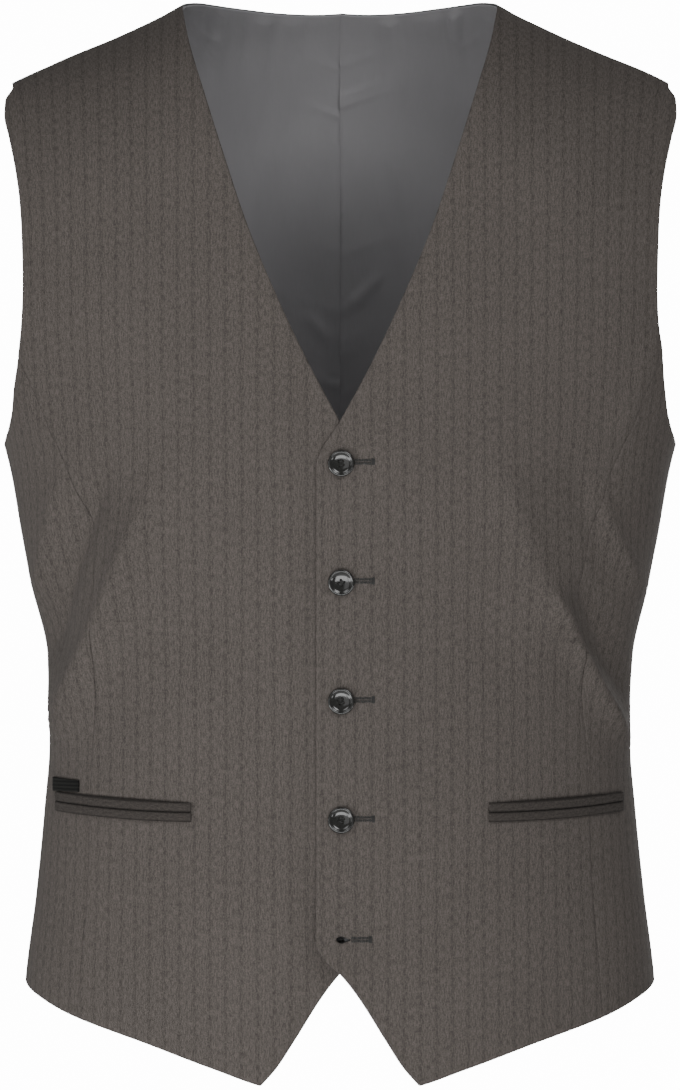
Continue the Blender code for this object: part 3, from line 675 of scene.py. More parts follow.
def suiting(name, colour, stripe_pitch):
    """Worsted wool: a fine self stripe, slight herringbone and mixed light and dark yarns."""
    finish = Finish(name, Roughness=0.9, Sheen_Weight=0.02, Sheen_Roughness=0.4, Specular_IOR_Level=0.12)
    place = finish.cloth_place()
    across, along, _ = finish.axes(place)
    wander = finish.noise(finish.stretched(place, (60, 14, 1)), 1.0) * STRIPE_WANDER
    turn = (across + wander) * (math.tau / stripe_pitch)
    broad = (turn.call("COSINE") * 0.5 + 0.5).call("POWER", 3.0)
    half = ((turn * 2.0).call("COSINE") * 0.5 + 0.5).call("POWER", 3.0)
    lean = (turn * 2.0).call("SINE").call("SIGN")
    rib = ((across * lean + along) * (math.tau / RIB_PITCH)).call("SINE") * 0.5 + 0.5
    streak = finish.noise(finish.stretched(place, (1100, 240, 1)), 1.0, 3.0, 0.7)
    speck = finish.noise(finish.stretched(place, (1500, 1000, 1)), 1.0, 2.0, 0.6)
    cloud = finish.noise(finish.stretched(place, (22, 16, 1)), 1.0)
    mixed = streak.ramp(0.34, 0.66) * 0.54 + speck.ramp(0.34, 0.66) * 0.40 + rib * 0.06
    tone = mixed * 0.90 + 0.08 - broad * 0.13 - half * 0.05 + (cloud - 0.5) * 0.14
    finish.feed("Base Color", finish.blend(tone, shade(colour, 0.48), shade(colour, 1.34)))
    finish.feed("Roughness", 0.92 - mixed * 0.10)
    finish.bump(mixed * 0.7 + rib * 0.3 - broad * 0.25, WOOL_BUMP)
    return finish.material


def welt(name, colour, tall):
    """The suiting of a welt, folded over and pressed, in darker colours than the suiting as painted shade,
    with more painted shade along its two edges.
    """
    finish = Finish(name, Roughness=0.9, Sheen_Weight=0.02, Specular_IOR_Level=0.12)
    place = finish.cloth_place()
    _, up, _ = finish.axes(place)
    streak = finish.noise(finish.stretched(place, (520, 900, 1)), 1.0, 3.0, 0.65)
    speck = finish.noise(finish.stretched(place, (1500, 1500, 1)), 1.0, 2.0, 0.6)
    mixed = streak.ramp(0.30, 0.70) * 0.6 + speck.ramp(0.32, 0.68) * 0.4
    # Painted shade: the colour darkens towards both edges of the welt, at its seam and at the pocket mouth.
    middle = (up * (1 / tall) - 0.5).call("ABSOLUTE") * 2.0
    tone = (mixed * 0.7 + 0.3) * (1 - middle.ramp(0.55, 1.0) * 0.75)
    # Painted shade: the welt's colours run darker than the suiting's own.
    finish.feed("Base Color", finish.blend(tone, shade(colour, 0.12), shade(colour, 0.72)))
    finish.bump(mixed, WELT_BUMP)
    return finish.material


def satin(name, colour, roughness):
    """Lining satin: smooth, with fine warp lines and slight wrinkles."""
    finish = Finish(name, Sheen_Weight=0.08, Specular_IOR_Level=0.45)
    place = finish.cloth_place()
    warp = finish.noise(finish.stretched(place, (1400, 90, 1)), 1.0, 2.0)
    wrinkle = finish.noise(finish.stretched(place, (46, 24, 1)), 1.0, 3.0, 0.55)
    cloud = finish.noise(finish.stretched(place, (12, 9, 1)), 1.0)
    tone = warp * 0.25 + wrinkle * 0.35 + cloud * 0.4
    finish.feed("Base Color", finish.blend(tone, shade(colour, 0.86), shade(colour, 1.14)))
    finish.feed("Roughness", roughness + warp * 0.12)
    finish.bump(wrinkle + warp * 0.04, SATIN_BUMP)
    return finish.material


def tape(name, colour):
    """Plain woven tape with fine ribs across it."""
    finish = Finish(name, Roughness=0.8, Specular_IOR_Level=0.15)
    _, along, _ = finish.axes(finish.cloth_place())
    ribs = (along * (math.tau / TAPE_RIB)).call("SINE") * 0.5 + 0.5
    thread = finish.noise(finish.stretched(finish.cloth_place(), (2200, 1400, 1)), 1.0, 2.0)
    tone = ribs * 0.7 + thread * 0.3
    finish.feed("Base Color", finish.blend(tone, shade(colour, 0.2), shade(colour, 1.5)))
    finish.bump(tone, TAPE_BUMP)
    return finish.material


def polished(name, colour):
    """Button material: black and polished, with faint grey streaks under the gloss."""
    finish = Finish(name, Coat_Weight=0.7, Coat_Roughness=0.05, Specular_IOR_Level=0.45)
    place = finish.node("ShaderNodeTexCoord", output=3)
    streak = finish.noise(finish.stretched(place, (300, 300, 900)), 1.0, 4.0, 0.6)
    share = streak.ramp(0.45, 0.75)
    finish.feed("Base Color", finish.blend(share, colour, shade(colour, 1.8)))
    finish.feed("Roughness", 0.12 + finish.noise(place, 900.0) * 0.08)
    return finish.material


def thread(name, colour):
    finish = Finish(name, Roughness=0.75, Sheen_Weight=0.2)
    place = finish.node("ShaderNodeTexCoord", output=3)
    twist = finish.noise(place, 3500.0)
    finish.feed("Base Color", finish.blend(twist, shade(colour, 0.6), shade(colour, 1.5)))
    finish.bump(twist, 0.0001)
    return finish.material


def mesh_object(name, shape, finishes):
    """A new object at the origin from a bmesh, which it frees."""
    mesh = bpy.data.meshes.new(name)
    shape.to_mesh(mesh)
    shape.free()
    for finish in finishes:
        mesh.materials.append(finish)
    mesh.shade_smooth()
    made = bpy.data.objects.new(name, mesh)
    bpy.context.scene.collection.objects.link(made)
    return made


def settle(piece):
    """Replaces a piece's mesh by the one its modifiers make, and drops them."""
    graph = bpy.context.evaluated_depsgraph_get()
    mesh = bpy.data.meshes.new_from_object(piece.evaluated_get(graph))
    piece.modifiers.clear()
    old, piece.data = piece.data, mesh
    bpy.data.meshes.remove(old)
    return piece


def cut_out(piece, shape, finish):
    """Cuts a closed shape out of a piece."""
    cutter = mesh_object("cutter", shape, [finish])
    cut = piece.modifiers.new("cut", "BOOLEAN")
    cut.operation, cut.solver, cut.object = "DIFFERENCE", "EXACT", cutter
    settle(piece)
    bpy.data.objects.remove(cutter)


def cloth(name, points, place, wall, finishes, side):
    """A closed cloth wall on a grid of points, with rounded edges and the cloth's own coordinates."""
    rows, columns = points.shape[:2]
    shape = bmesh.new()
    bmesh.ops.create_grid(shape, x_segments=columns - 1, y_segments=rows - 1, size=1, calc_uvs=False)
    uv = shape.loops.layers.uv.new("cloth")
    shape.verts.ensure_lookup_table()
    flat = points.reshape(-1, 3) * (side, 1, 1)
    coordinates = np.stack(place, -1).reshape(-1, 2) * (side, 1)
    for vertex, at in zip(shape.verts, flat):
        vertex.co = at
    for face in shape.faces:
        for loop in face.loops:
            loop[uv].uv = coordinates[loop.vert.index]
    shape.normal_update()
    shape.faces.ensure_lookup_table()
    middle = shape.faces[len(shape.faces) // 3]
    centre = middle.calc_center_median()
    if middle.normal.dot(Vector((centre.x, centre.y, 0))) < 0:
        bmesh.ops.reverse_faces(shape, faces=shape.faces)
    piece = mesh_object(name, shape, finishes)
    solid = piece.modifiers.new("wall", "SOLIDIFY")
    solid.thickness, solid.offset, solid.use_even_offset = wall, 0.0, True
    solid.material_offset = len(finishes) - 1
    edge = piece.modifiers.new("edge", "BEVEL")
    edge.limit_method, edge.angle_limit = "ANGLE", EDGE_ANGLE
    edge.width, edge.segments, edge.profile = wall * EDGE_SHARE, 2, 0.5
    edge.use_clamp_overlap = True
    settle(piece)
    piece.data.set_sharp_from_angle(angle=SHARP_CLOTH)
    return piece


def declare(piece, slot, *nodes):
    """Attaches a piece to the body it rides on, and hides the solids it stands for. Its slot, the record's
    finish it would have, is not used.
    """
    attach(piece, BODY)
    if nodes:
        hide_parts(*nodes)


def hull_of(*names):
    """Ray trees of finished pieces, for what lies on them."""
    graph = bpy.context.evaluated_depsgraph_get()
    return [BVHTree.FromObject(bpy.data.objects[name], graph) for name in names]


def laid_on(trees, places, normals, lift):
    """The places moved along their normals until they lie lift above the cloth under them."""
    laid = []
    lifts = np.broadcast_to(lift, len(places))
    for place, normal, height in zip(places, normals, lifts):
        start, down = Vector(place + normal * SEARCH), -Vector(normal)
        depths = [tree.ray_cast(start, down, 2 * SEARCH)[3] for tree in trees]
        found = [depth for depth in depths if depth is not None]
        laid.append(start + down * ((min(found) if found else SEARCH) - height))
    return np.array(laid)


def front_frame(trees, side, across, height, lift=0.0):
    """A matrix on a front's face: X to the wearer's left, Y up the cloth, Z out of it."""
    nearby = [(across, height), (across + FRAME_STEP, height), (across, height + FRAME_STEP)]
    places = np.array([on_front(abs(x), z) for x, z in nearby])
    places[:, 0] = [x for x, _ in nearby]
    out = np.tile((0.0, -1.0, 0.0), (3, 1))
    here, right, above = (Vector(p) for p in laid_on(trees, places, out, 0.0))
    up = (above - here).normalized()
    facing = (right - here).cross(up).normalized()
    turn = Matrix((up.cross(facing), up, facing)).transposed()
    return Matrix.Translation(here + facing * lift) @ turn.to_4x4()


def stitch(shape, start, end, radius):
    """One thread stitch between two places."""
    along = Vector(end) - Vector(start)
    made = bmesh.ops.create_uvsphere(shape, u_segments=6, v_segments=4, radius=1)["verts"]
    size = Matrix.Diagonal((radius, radius, along.length / 2 + radius * 0.6, 1))
    turn = along.to_track_quat("Z", "Y").to_matrix().to_4x4()
    middle = Matrix.Translation((Vector(start) + Vector(end)) / 2)
    bmesh.ops.transform(shape, matrix=middle @ turn @ size, verts=made)


METRES = {"precision": 5, "unit": "LENGTH"}
PAINT = {"subtype": "COLOR", "size": 3, "min": 0, "max": 1}


class WaistcoatSizes(bpy.types.PropertyGroup):
    cloth_wall: bpy.props.FloatProperty(
        name="Cloth", description="Thickness of the suiting with its interlining and lining",
        default=0.0020, min=0.001, max=0.003, **METRES,
    )
    satin_wall: bpy.props.FloatProperty(
        name="Satin", description="Thickness of the back, of its lining and of the welts",
        default=0.0010, min=0.0005, max=0.002, **METRES,
    )
    seam_turn: bpy.props.FloatProperty(
        name="Seam turn", description="How far each panel turns in past its seam, to close it",
        default=0.00005, min=0.0, max=0.0003, **METRES,
    )
    stripe_pitch: bpy.props.FloatProperty(
        name="Stripe pitch", description="Distance between the self stripes of the suiting",
        default=0.0094, min=0.002, max=0.05, **METRES,
    )
    welt_height: bpy.props.FloatProperty(
        name="Welt", description="Height of each pocket welt",
        default=0.0052, min=0.003, max=0.015, **METRES,
    )
    button_radius: bpy.props.FloatProperty(
        name="Button radius", description="Radius of each front button",
        default=0.0077, min=0.005, max=0.012, **METRES,
    )
    hole_length: bpy.props.FloatProperty(
        name="Buttonhole", description="Length of a buttonhole past the centre front",
        default=0.0186, min=0.010, max=0.030, **METRES,
    )


class WaistcoatColours(bpy.types.PropertyGroup):
    suiting: bpy.props.FloatVectorProperty(
        name="Suiting", description="Middle colour of the wool",
        default=(0.0940, 0.0825, 0.0750), **PAINT,
    )
    back: bpy.props.FloatVectorProperty(
        name="Back", description="Colour of the satin back",
        default=(0.045, 0.045, 0.048), **PAINT,
    )
    lining: bpy.props.FloatVectorProperty(
        name="Lining", description="Colour of the lining",
        default=(0.222, 0.217, 0.225), **PAINT,
    )
    trim: bpy.props.FloatVectorProperty(
        name="Trim", description="Colour of the tab and of the buttonhole thread",
        default=(0.010, 0.010, 0.009), **PAINT,
    )
    horn: bpy.props.FloatVectorProperty(
        name="Buttons", description="Colour of the buttons",
        default=(0.008, 0.008, 0.007), **PAINT,
    )


def sizes():
    return bpy.context.scene.waistcoat_sizes


def colours():
    return bpy.context.scene.waistcoat_colours


def made_once(name, make):
    """A material by name, made the first time it is asked for."""
    return bpy.data.materials.get(name) or make(name)


def suiting_finish():
    return made_once("suiting_wool", lambda name: suiting(name, colours().suiting, sizes().stripe_pitch))


def lining_finish():
    return made_once("lining_satin", lambda name: satin(name, colours().lining, 0.36))


def thread_finish():
    return made_once("dark_thread", lambda name: thread(name, colours().trim))


class WAISTCOAT_OT_stage(bpy.types.Operator):
    """Make the floor, the lights, the pale surroundings and the camera"""

    bl_idname = "waistcoat.stage"
    bl_label = "Stage"

    def execute(self, context):
        low, high = CAD_BOX
        shape = bmesh.new()
        place = Matrix.Translation((0, 0, low.z - FLOOR_DROP))
        bmesh.ops.create_circle(shape, cap_ends=True, segments=96, radius=FLOOR_RADIUS, matrix=place)
        paint = Finish("pale_floor", Base_Color=FLOOR_TONE, Roughness=0.8)
        mesh_object("floor", shape, [paint.material])
        for light in LIGHTS:
            data = bpy.data.lights.new(light.name, "AREA")
            data.shape, data.size, data.size_y = "RECTANGLE", light.width, light.tall
            data.energy = light.power
            lamp = bpy.data.objects.new(light.name, data)
            turn = math.radians(light.degrees)
            at = Vector((math.sin(turn), -math.cos(turn), 0)) * light.reach + Vector((0, 0, light.height))
            lamp.location = at
            lamp.rotation_mode = "QUATERNION"
            lamp.rotation_quaternion = (Vector(LIGHT_AIM) - at).to_track_quat("-Z", "Y")
            lamp.visible_camera = False
            context.scene.collection.objects.link(lamp)
        self.surround(context.scene)
        data = bpy.data.cameras.new("camera")
        data.sensor_width = SENSOR
        data.lens = SENSOR * CAMERA_DISTANCE / VIEW_HEIGHT
        camera = bpy.data.objects.new("camera", data)
        camera.location = (0, -CAMERA_DISTANCE, CAMERA_HEIGHT)
        camera.rotation_euler = (math.pi / 2, 0, 0)
        context.scene.collection.objects.link(camera)
        context.scene.camera = camera
        return {"FINISHED"}

    def surround(self, scene):
        """A pale surround that gives soft light from all sides."""
        world = bpy.data.worlds.new("surround")
        world.use_nodes = True
        nodes, links = world.node_tree.nodes, world.node_tree.links
        glow = nodes["Background"]
        glow.inputs["Color"].default_value = (1, 1, 1, 1)
        glow.inputs["Strength"].default_value = SURROUND_LIGHT
        white = nodes.new("ShaderNodeBackground")
        white.inputs["Strength"].default_value = SURROUND_WHITE
        path = nodes.new("ShaderNodeLightPath")
        both = nodes.new("ShaderNodeMixShader")
        links.new(path.outputs["Is Camera Ray"], both.inputs["Fac"])
        links.new(glow.outputs[0], both.inputs[1])
        links.new(white.outputs[0], both.inputs[2])
        links.new(both.outputs[0], nodes["World Output"].inputs["Surface"])
        scene.world = world


class WAISTCOAT_OT_fronts(bpy.types.Operator):
    """Make the two fronts, the left one over the right one"""

    bl_idname = "waistcoat.fronts"
    bl_label = "Fronts"

    def execute(self, context):
        points = front_grid(-sizes().seam_turn)
        place = grain(points)
        finishes = [suiting_finish(), lining_finish()]
        for name, side in (("front_left", 1), ("front_right", -1)):
            lift = front_lift(side, points[..., 0], points[..., 2])
            wall = sizes().cloth_wall
            piece = cloth(name + "_cloth", moved_out(points, lift), place, wall, finishes, side)
            if side > 0:
                cut_out(piece, self.eyelet(piece), thread_finish())
            declare(piece, "suiting", name)
        return {"FINISHED"}

    def eyelet(self, piece):
        """The open end of the undone bottom buttonhole, as a drop-shaped pin through the cloth."""
        frame_here = front_frame(hull_of(piece.name), 1, EYELET_ACROSS, open_hole_height())
        shape = bmesh.new()
        ring = [shape.verts.new(Vector((x, y, -EYELET_PIN))) for x, y in drop_outline(0.0, EYELET_CORNERS)]
        face = shape.faces.new(ring)
        lifted = bmesh.ops.extrude_face_region(shape, geom=[face])["geom"]
        tops = [v for v in lifted if isinstance(v, bmesh.types.BMVert)]
        bmesh.ops.translate(shape, vec=(0, 0, 2 * EYELET_PIN), verts=tops)
        bmesh.ops.recalc_face_normals(shape, faces=shape.faces)
        bmesh.ops.transform(shape, matrix=frame_here, verts=shape.verts)
        return shape


def drop_outline(grow, count):
    """The outline of a keyhole's eyelet: round at its left end and drawn out to the right."""
    outline = []
    for number in range(count):
        turn = math.tau * number / count
        stretch = 1 + DROP_POINT * max(0.0, math.cos(turn)) ** 3
        x = (EYELET_LENGTH + grow) * math.cos(turn) * stretch
        y = (EYELET_HEIGHT + grow) * math.sin(turn) * (1 - DROP_NARROW * max(0.0, math.cos(turn)))
        outline.append((x, y))
    return outline


def open_hole_height():
    return BUTTON_TOP - BUTTON_PITCH * (BUTTONS - 1)


class WAISTCOAT_OT_sides(bpy.types.Operator):
    """Make the two side panels"""

    bl_idname = "waistcoat.sides"
    bl_label = "Side panels"

    def execute(self, context):
        points = side_grid(-sizes().seam_turn)
        place = grain(points)
        finishes = [suiting_finish(), lining_finish()]
        for name, side in (("side_left", 1), ("side_right", -1)):
            x, y, z = np.moveaxis(points, -1, 0)
            ahead = ease(-y / SIDE_FADE + 0.2)
            lift = (crease_rise(CREASES, side, x, z) + unevenness(x, z, 5 + side)) * ahead
            wall = sizes().cloth_wall
            piece = cloth(name + "_cloth", moved_out(points, lift), place, wall, finishes, side)
            declare(piece, "suiting", name)
        return {"FINISHED"}


class WAISTCOAT_OT_backs(bpy.types.Operator):
    """Make the two halves of the satin back"""

    bl_idname = "waistcoat.backs"
    bl_label = "Back"

    def execute(self, context):
        finish = made_once("back_satin", lambda name: satin(name, colours().back, 0.34))
        points = back_grid(-sizes().seam_turn)
        place = grain(points, from_back=True)
        for name, side in (("back_left", 1), ("back_right", -1)):
            x, y, z = np.moveaxis(points, -1, 0)
            lift = back_waves(side, x, y, z)
            wall = sizes().satin_wall
            piece = cloth(name + "_satin", moved_out(points, lift), place, wall, [finish], side)
            declare(piece, "satin", name)
        return {"FINISHED"}


def back_waves(side, x, y, z):
    """Wrinkles of the back: slight waves everywhere, and drag lines in the waist and under the armholes."""
    behind = ease(y / SIDE_FADE)
    return (crease_rise(BACK_CREASES, side, x, z) + unevenness(x, z, 11 + side, BACK_WAVES)) * behind


def drawn(chance, gathers):
    """The place, length and rise of each gather."""
    return chance.uniform(gathers.least, gathers.most, (gathers.count, 3))


class WAISTCOAT_OT_linings(bpy.types.Operator):
    """Make the two halves of the back's lining"""

    bl_idname = "waistcoat.linings"
    bl_label = "Back lining"

    def execute(self, context):
        outer = back_grid(-sizes().seam_turn)
        place = grain(outer, from_back=True)
        sink = sizes().satin_wall + LINING_GAP
        for name, side in (("back_lining_left", 1), ("back_lining_right", -1)):
            x, y, z = np.moveaxis(outer, -1, 0)
            inside = back_waves(side, x, y, z) - sink - self.puckers(side, x, y, z, place[1][-1] - place[1])
            points = moved_out(outer, inside)
            points[:, 0, 0] = -sizes().seam_turn
            points = drawn_in(points, LINING_SHORT, LINING_RISE)
            piece = cloth(name + "_satin", points, place, sizes().satin_wall, [lining_finish()], side)
            declare(piece, "lining", name)
        return {"FINISHED"}

    def puckers(self, side, x, y, z, from_top):
        """How far the lining stands in from the back: gathers along its seam and neckline, and folds."""
        behind = ease(y / SIDE_FADE)
        chance = np.random.default_rng(21 + side)
        total = crease_rise(LINING_CREASES + NECK_FOLDS, side, x, z)
        for height, length, rise in drawn(chance, SEAM_GATHERS):
            slope = z - height - x * (SEAM_SLOPE if rise > STEEP_RISE else SEAM_SLOPE_BACK)
            total += rise * bell(slope, 0.0016 + 0.05 * rise) * np.exp(-x / length)
        below = shoulder_line(np.abs(x)) - z
        for at, reach, rise in drawn(chance, NECK_GATHERS):
            fade = np.exp(-np.maximum(below - NECK_TOP, 0) / reach)
            total += rise * bell(x - at - NECK_LEAN * below, NECK_SPREAD) * fade
        return total * behind * ease(from_top / LINING_EDGE)


def sewn_strip(ends, low_at, high_at, columns, rows, crown, trees, side):
    """A grid that lies on a front between two places, a little crowned, and its own cloth coordinates."""
    share, rise = np.linspace(0, 1, columns + 1), np.linspace(0, 1, rows + 1)[:, None]
    height = mix(low_at(share), high_at(share), rise)
    across = mix(ends[0], ends[1], share + 0 * rise)
    form = on_front(across, height)
    stand_out = STRIP_GAP + WELT_WALL / 2 + crown * np.sqrt(np.clip(4 * rise * (1 - rise), 0, 1))
    stand_out = (stand_out * ease(np.minimum(share, 1 - share) / STRIP_END + STRIP_FOOT)).ravel()
    mirror = (side, 1, 1)
    normals = (outward(form) * mirror).reshape(-1, 3)
    laid = laid_on(trees, (form * mirror).reshape(-1, 3), normals, stand_out)
    return laid.reshape(form.shape) * mirror, (across, height - low_at(share))


class WAISTCOAT_OT_pockets(bpy.types.Operator):
    """Make the welts of the two pockets, and the woven tab at the right one"""

    bl_idname = "waistcoat.pockets"
    bl_label = "Pockets"

    def execute(self, context):
        tall, half = sizes().welt_height, MOUTH_GAP / 2
        # The welts' material is a darker copy of the suiting, with painted shade.
        finish = made_once("suiting_welt", lambda name: welt(name, colours().suiting, tall))

        def mouth(share):
            bow = 4 * POCKET_BOW * share * (1 - share)
            return mix(POCKET_INNER_HEIGHT, POCKET_OUTER_HEIGHT, share) - bow

        def top(share):
            return mix(POCKET_INNER_HEIGHT, POCKET_OUTER_HEIGHT, share) + tall

        places = {
            "upper": (lambda share: mouth(share) + half, top),
            "lower": (lambda share: mouth(share) - half - tall, lambda share: mouth(share) - half),
        }
        ends = (POCKET_INNER, POCKET_OUTER)
        for name, side in (("left", 1), ("right", -1)):
            trees = hull_of(f"front_{name}_cloth", f"side_{name}_cloth")
            for place, (low, high) in places.items():
                points, grid = sewn_strip(ends, low, high, WELT_CELLS, WELT_ROWS, WELT_CROWN, trees, side)
                piece = cloth(f"{place}_welt_{name}", points, grid, WELT_WALL, [finish], side)
                declare(piece, "suiting", f"pocket_{place}_welt_{name}")
            if side < 0:
                self.tab(trees, side)
        return {"FINISHED"}

    def tab(self, trees, side):
        finish = made_once("woven_tape", lambda name: tape(name, colours().trim))
        ends = (TAB_INNER, TAB_OUTER)
        low, high = (lambda share: TAB_LOW + 0 * share), (lambda share: TAB_HIGH + TAB_TILT * (share - 0.5))
        points, grid = sewn_strip(ends, low, high, TAB_CELLS, TAB_ROWS, WELT_CROWN / 2, trees, side)
        piece = cloth("tab_right", points, grid, WELT_WALL, [finish], side)
        declare(piece, "trim", "pocket_tab")


class WAISTCOAT_OT_buttons(bpy.types.Operator):
    """Make the five dished four-hole buttons with their threads, the undone one on the right front"""

    bl_idname = "waistcoat.buttons"
    bl_label = "Buttons"

    def execute(self, context):
        horn = made_once("black_horn", lambda name: polished(name, colours().horn))
        turned_button = self.turned_button(horn)
        for number in range(1, BUTTONS + 1):
            last = number == BUTTONS
            trees = hull_of("front_right_cloth" if last else "front_left_cloth")
            height = BUTTON_TOP - BUTTON_PITCH * (number - 1)
            side = -1 if last else 1
            place = front_frame(trees, side, BUTTON_ACROSS, height, BUTTON_SEAT)
            twist = Matrix.Rotation(math.radians(BUTTON_TWISTS[number - 1]), 4, "Z")
            mesh = turned_button.data.copy()
            mesh.transform(place @ twist)
            button = bpy.data.objects.new(f"front_button_{number}", mesh)
            context.scene.collection.objects.link(button)
            declare(button, "horn", f"button_{number}")
            sewing = mesh_object(f"button_thread_{number}", self.sewing(place @ twist), [thread_finish()])
            declare(sewing, "trim")
        bpy.data.objects.remove(turned_button)
        return {"FINISHED"}

    def turned_button(self, horn):
        """A button with a rolled rim and four holes, standing on its back at the origin, face up."""
        radius = sizes().button_radius
        shape = bmesh.new()
        line = [shape.verts.new((share * radius, 0, up)) for share, up in BUTTON_PROFILE]
        edges = [shape.edges.new(pair) for pair in zip(line, line[1:])]
        bmesh.ops.spin(
            shape, geom=line + edges, axis=(0, 0, 1), cent=(0, 0, 0),
            angle=math.tau, steps=BUTTON_STEPS, use_merge=True,
        )
        bmesh.ops.remove_doubles(shape, verts=shape.verts, dist=1e-6)
        bmesh.ops.recalc_face_normals(shape, faces=shape.faces)
        button = mesh_object("turned_button", shape, [horn])
        pins = bmesh.new()
        for x, y in self.thread_holes():
            bmesh.ops.create_cone(
                pins, cap_ends=True, segments=HOLE_STEPS, radius1=THREAD_HOLE, radius2=THREAD_HOLE,
                depth=HOLE_DEPTH, matrix=Matrix.Translation((x, y, HOLE_MIDDLE)),
            )
        cut_out(button, pins, horn)
        button.data.shade_smooth()
        button.data.set_sharp_from_angle(angle=SHARP_BUTTON)
        return button

    def thread_holes(self):
        quarters = [math.pi / 4 + quarter * math.pi / 2 for quarter in range(4)]
        return [(HOLES_AT * math.cos(turn), HOLES_AT * math.sin(turn)) for turn in quarters]

    def sewing(self, place):
        """Two bars of thread over the button's face, its threads through the holes, and a wound shank."""
        shape = bmesh.new()
        holes = self.thread_holes()
        for first, second in ((holes[0], holes[1]), (holes[3], holes[2])):
            for aside in (-THREAD_SPACING, 0.0, THREAD_SPACING):
                start = Vector((first[0], first[1] + aside, BUTTON_DISH))
                end = Vector((second[0], second[1] + aside, BUTTON_DISH))
                middle = (start + end) / 2 + Vector((0, 0, THREAD_ARCH))
                stitch(shape, start, middle, THREAD_RADIUS)
                stitch(shape, middle, end, THREAD_RADIUS)
        for x, y in holes:
            stitch(shape, (x, y, BUTTON_DISH), (x * 0.7, y * 0.7, -BUTTON_SEAT), PULL_RADIUS)
        bmesh.ops.create_cone(
            shape, cap_ends=True, segments=SHANK_STEPS, radius1=SHANK_FOOT, radius2=SHANK_TOP,
            depth=BUTTON_SEAT * 1.6, matrix=Matrix.Translation((0, 0, -BUTTON_SEAT * 0.3)),
        )
        bmesh.ops.transform(shape, matrix=place, verts=shape.verts)
        return shape


class WAISTCOAT_OT_buttonholes(bpy.types.Operator):
    """Sew the five buttonholes in the left front"""

    bl_idname = "waistcoat.buttonholes"
    bl_label = "Buttonholes"

    def execute(self, context):
        trees = hull_of("front_left_cloth")
        for number in range(1, BUTTONS + 1):
            undone = number == BUTTONS
            start = OPEN_TAIL_START if undone else TAIL_START
            height = BUTTON_TOP - BUTTON_PITCH * (number - 1) + (0.0 if undone else TAIL_RISE)
            shape = bmesh.new()
            chance = np.random.default_rng(40 + number)
            end = sizes().hole_length - (OPEN_TAIL_SHORT if undone else 0.0)
            self.tail(shape, trees, height, start, end, chance)
            if undone:
                self.rim(shape, trees, height, chance)
            piece = mesh_object(f"buttonhole_{number}", shape, [thread_finish()])
            declare(piece, "trim")
        return {"FINISHED"}

    def tail(self, shape, trees, height, start, end, chance):
        """Two rows of close stitches along the slit, and a bar across its end."""
        count = round((end - start) / STITCH_PITCH)
        for number in range(count):
            across = start + (number + 0.5) * STITCH_PITCH
            here = front_frame(trees, 1, across, height)
            for row in (-1, 1):
                lean, reach, lift = chance.uniform(STRAY_LEAST, STRAY_MOST)
                near, far = row * ROW_APART, row * (STITCH_LENGTH + reach)
                ends = [here @ Vector(p) for p in ((0, near, lift), (lean, far, lift * 0.5))]
                stitch(shape, *ends, STITCH_RADIUS)
        here = front_frame(trees, 1, end, height)
        for number in range(4):
            x, reach = number * BAR_PITCH, chance.uniform(*BAR_REACH)
            ends = [here @ Vector((x, row * reach, 0.0001)) for row in (-1, 1)]
            stitch(shape, *ends, STITCH_RADIUS)

    def rim(self, shape, trees, height, chance):
        """Stitches round the eyelet."""
        here = front_frame(trees, 1, EYELET_ACROSS, height)
        for inner, outer in zip(*(drop_outline(reach, RIM_STITCHES) for reach in RIM_REACH)):
            lift = chance.uniform(0.0, STRAY_LIFT)
            stitch(shape, here @ Vector((*inner, lift)), here @ Vector((*outer, lift)), STITCH_RADIUS)


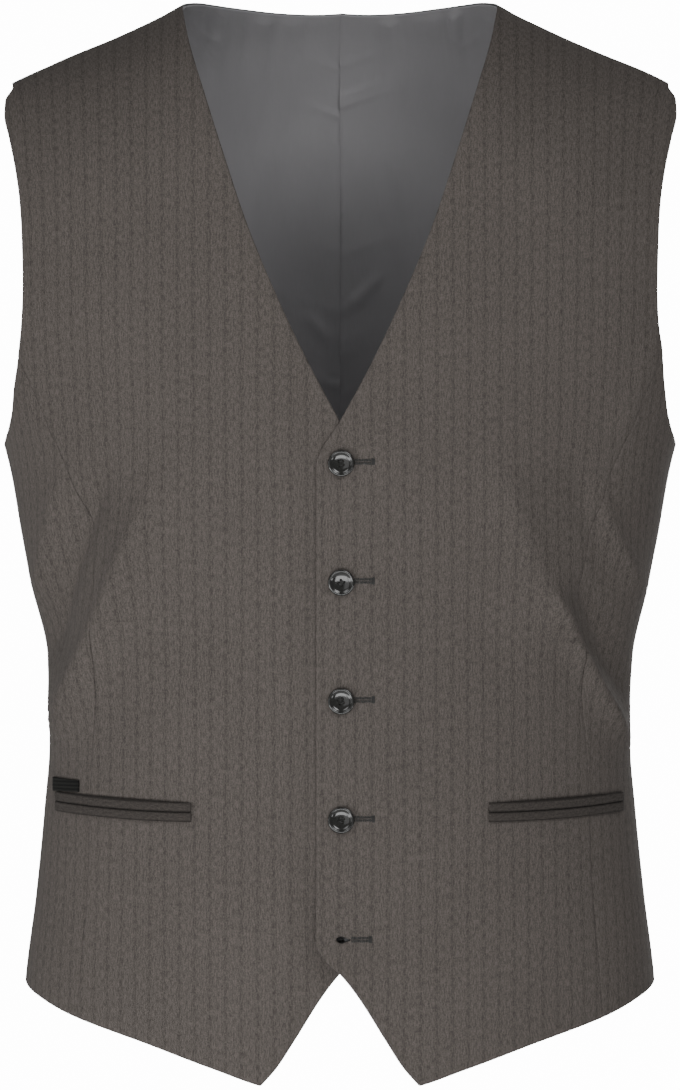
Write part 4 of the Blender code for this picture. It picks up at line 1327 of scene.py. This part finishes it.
class WAISTCOAT_OT_cuts(bpy.types.Operator):
    """Find the pieces sewn to every cloth panel, without recording them or the panel's flat cut"""

    bl_idname = "waistcoat.cuts"
    bl_label = "Flat cuts"

    def execute(self, context):
        for name, cut in CUTS.items():
            for half in ("left", "right"):
                sewn = [bpy.data.objects[one.format(half)] for one in cut.sewn_on]
                if name.startswith("front"):
                    sewn += self.fastenings(half)
        return {"FINISHED"}

    def fastenings(self, half):
        """What is sewn to one front only."""
        numbers = range(1, BUTTONS + 1)
        names = ["tab_right", f"front_button_{BUTTONS}", f"button_thread_{BUTTONS}"]
        if half == "left":
            names = [f"buttonhole_{number}" for number in numbers]
            for kind in ("front_button", "button_thread"):
                names += [f"{kind}_{number}" for number in numbers if number < BUTTONS]
        return [bpy.data.objects[name] for name in names]


class WAISTCOAT_PT_pieces(bpy.types.Panel):
    """The pieces of the waistcoat, with their sizes and colours"""

    bl_idname = "WAISTCOAT_PT_pieces"
    bl_label = "Suit Waistcoat"
    bl_space_type = "VIEW_3D"
    bl_region_type = "UI"
    bl_category = "Waistcoat"

    def draw(self, context):
        for group in (sizes(), colours()):
            box = self.layout.box()
            for name in group.bl_rna.properties.keys():
                if name not in ("rna_type", "name"):
                    box.prop(group, name)
        for operator in OPERATORS:
            self.layout.operator(operator.bl_idname)


OPERATORS = (
    WAISTCOAT_OT_stage,
    WAISTCOAT_OT_fronts,
    WAISTCOAT_OT_sides,
    WAISTCOAT_OT_backs,
    WAISTCOAT_OT_linings,
    WAISTCOAT_OT_pockets,
    WAISTCOAT_OT_buttons,
    WAISTCOAT_OT_buttonholes,
    WAISTCOAT_OT_cuts,
)
CLASSES = (WaistcoatSizes, WaistcoatColours, *OPERATORS, WAISTCOAT_PT_pieces)


def register():
    for one in CLASSES:
        bpy.utils.register_class(one)
    bpy.types.Scene.waistcoat_sizes = bpy.props.PointerProperty(type=WaistcoatSizes)
    bpy.types.Scene.waistcoat_colours = bpy.props.PointerProperty(type=WaistcoatColours)


def unregister():
    del bpy.types.Scene.waistcoat_colours
    del bpy.types.Scene.waistcoat_sizes
    for one in reversed(CLASSES):
        bpy.utils.unregister_class(one)


def main():
    register()
    bpy.ops.waistcoat.stage()
    bpy.ops.waistcoat.fronts()
    bpy.ops.waistcoat.sides()
    bpy.ops.waistcoat.backs()
    bpy.ops.waistcoat.linings()
    bpy.ops.waistcoat.pockets()
    bpy.ops.waistcoat.buttons()
    bpy.ops.waistcoat.buttonholes()
    bpy.ops.waistcoat.cuts()


if __name__ == "__main__":
    main()
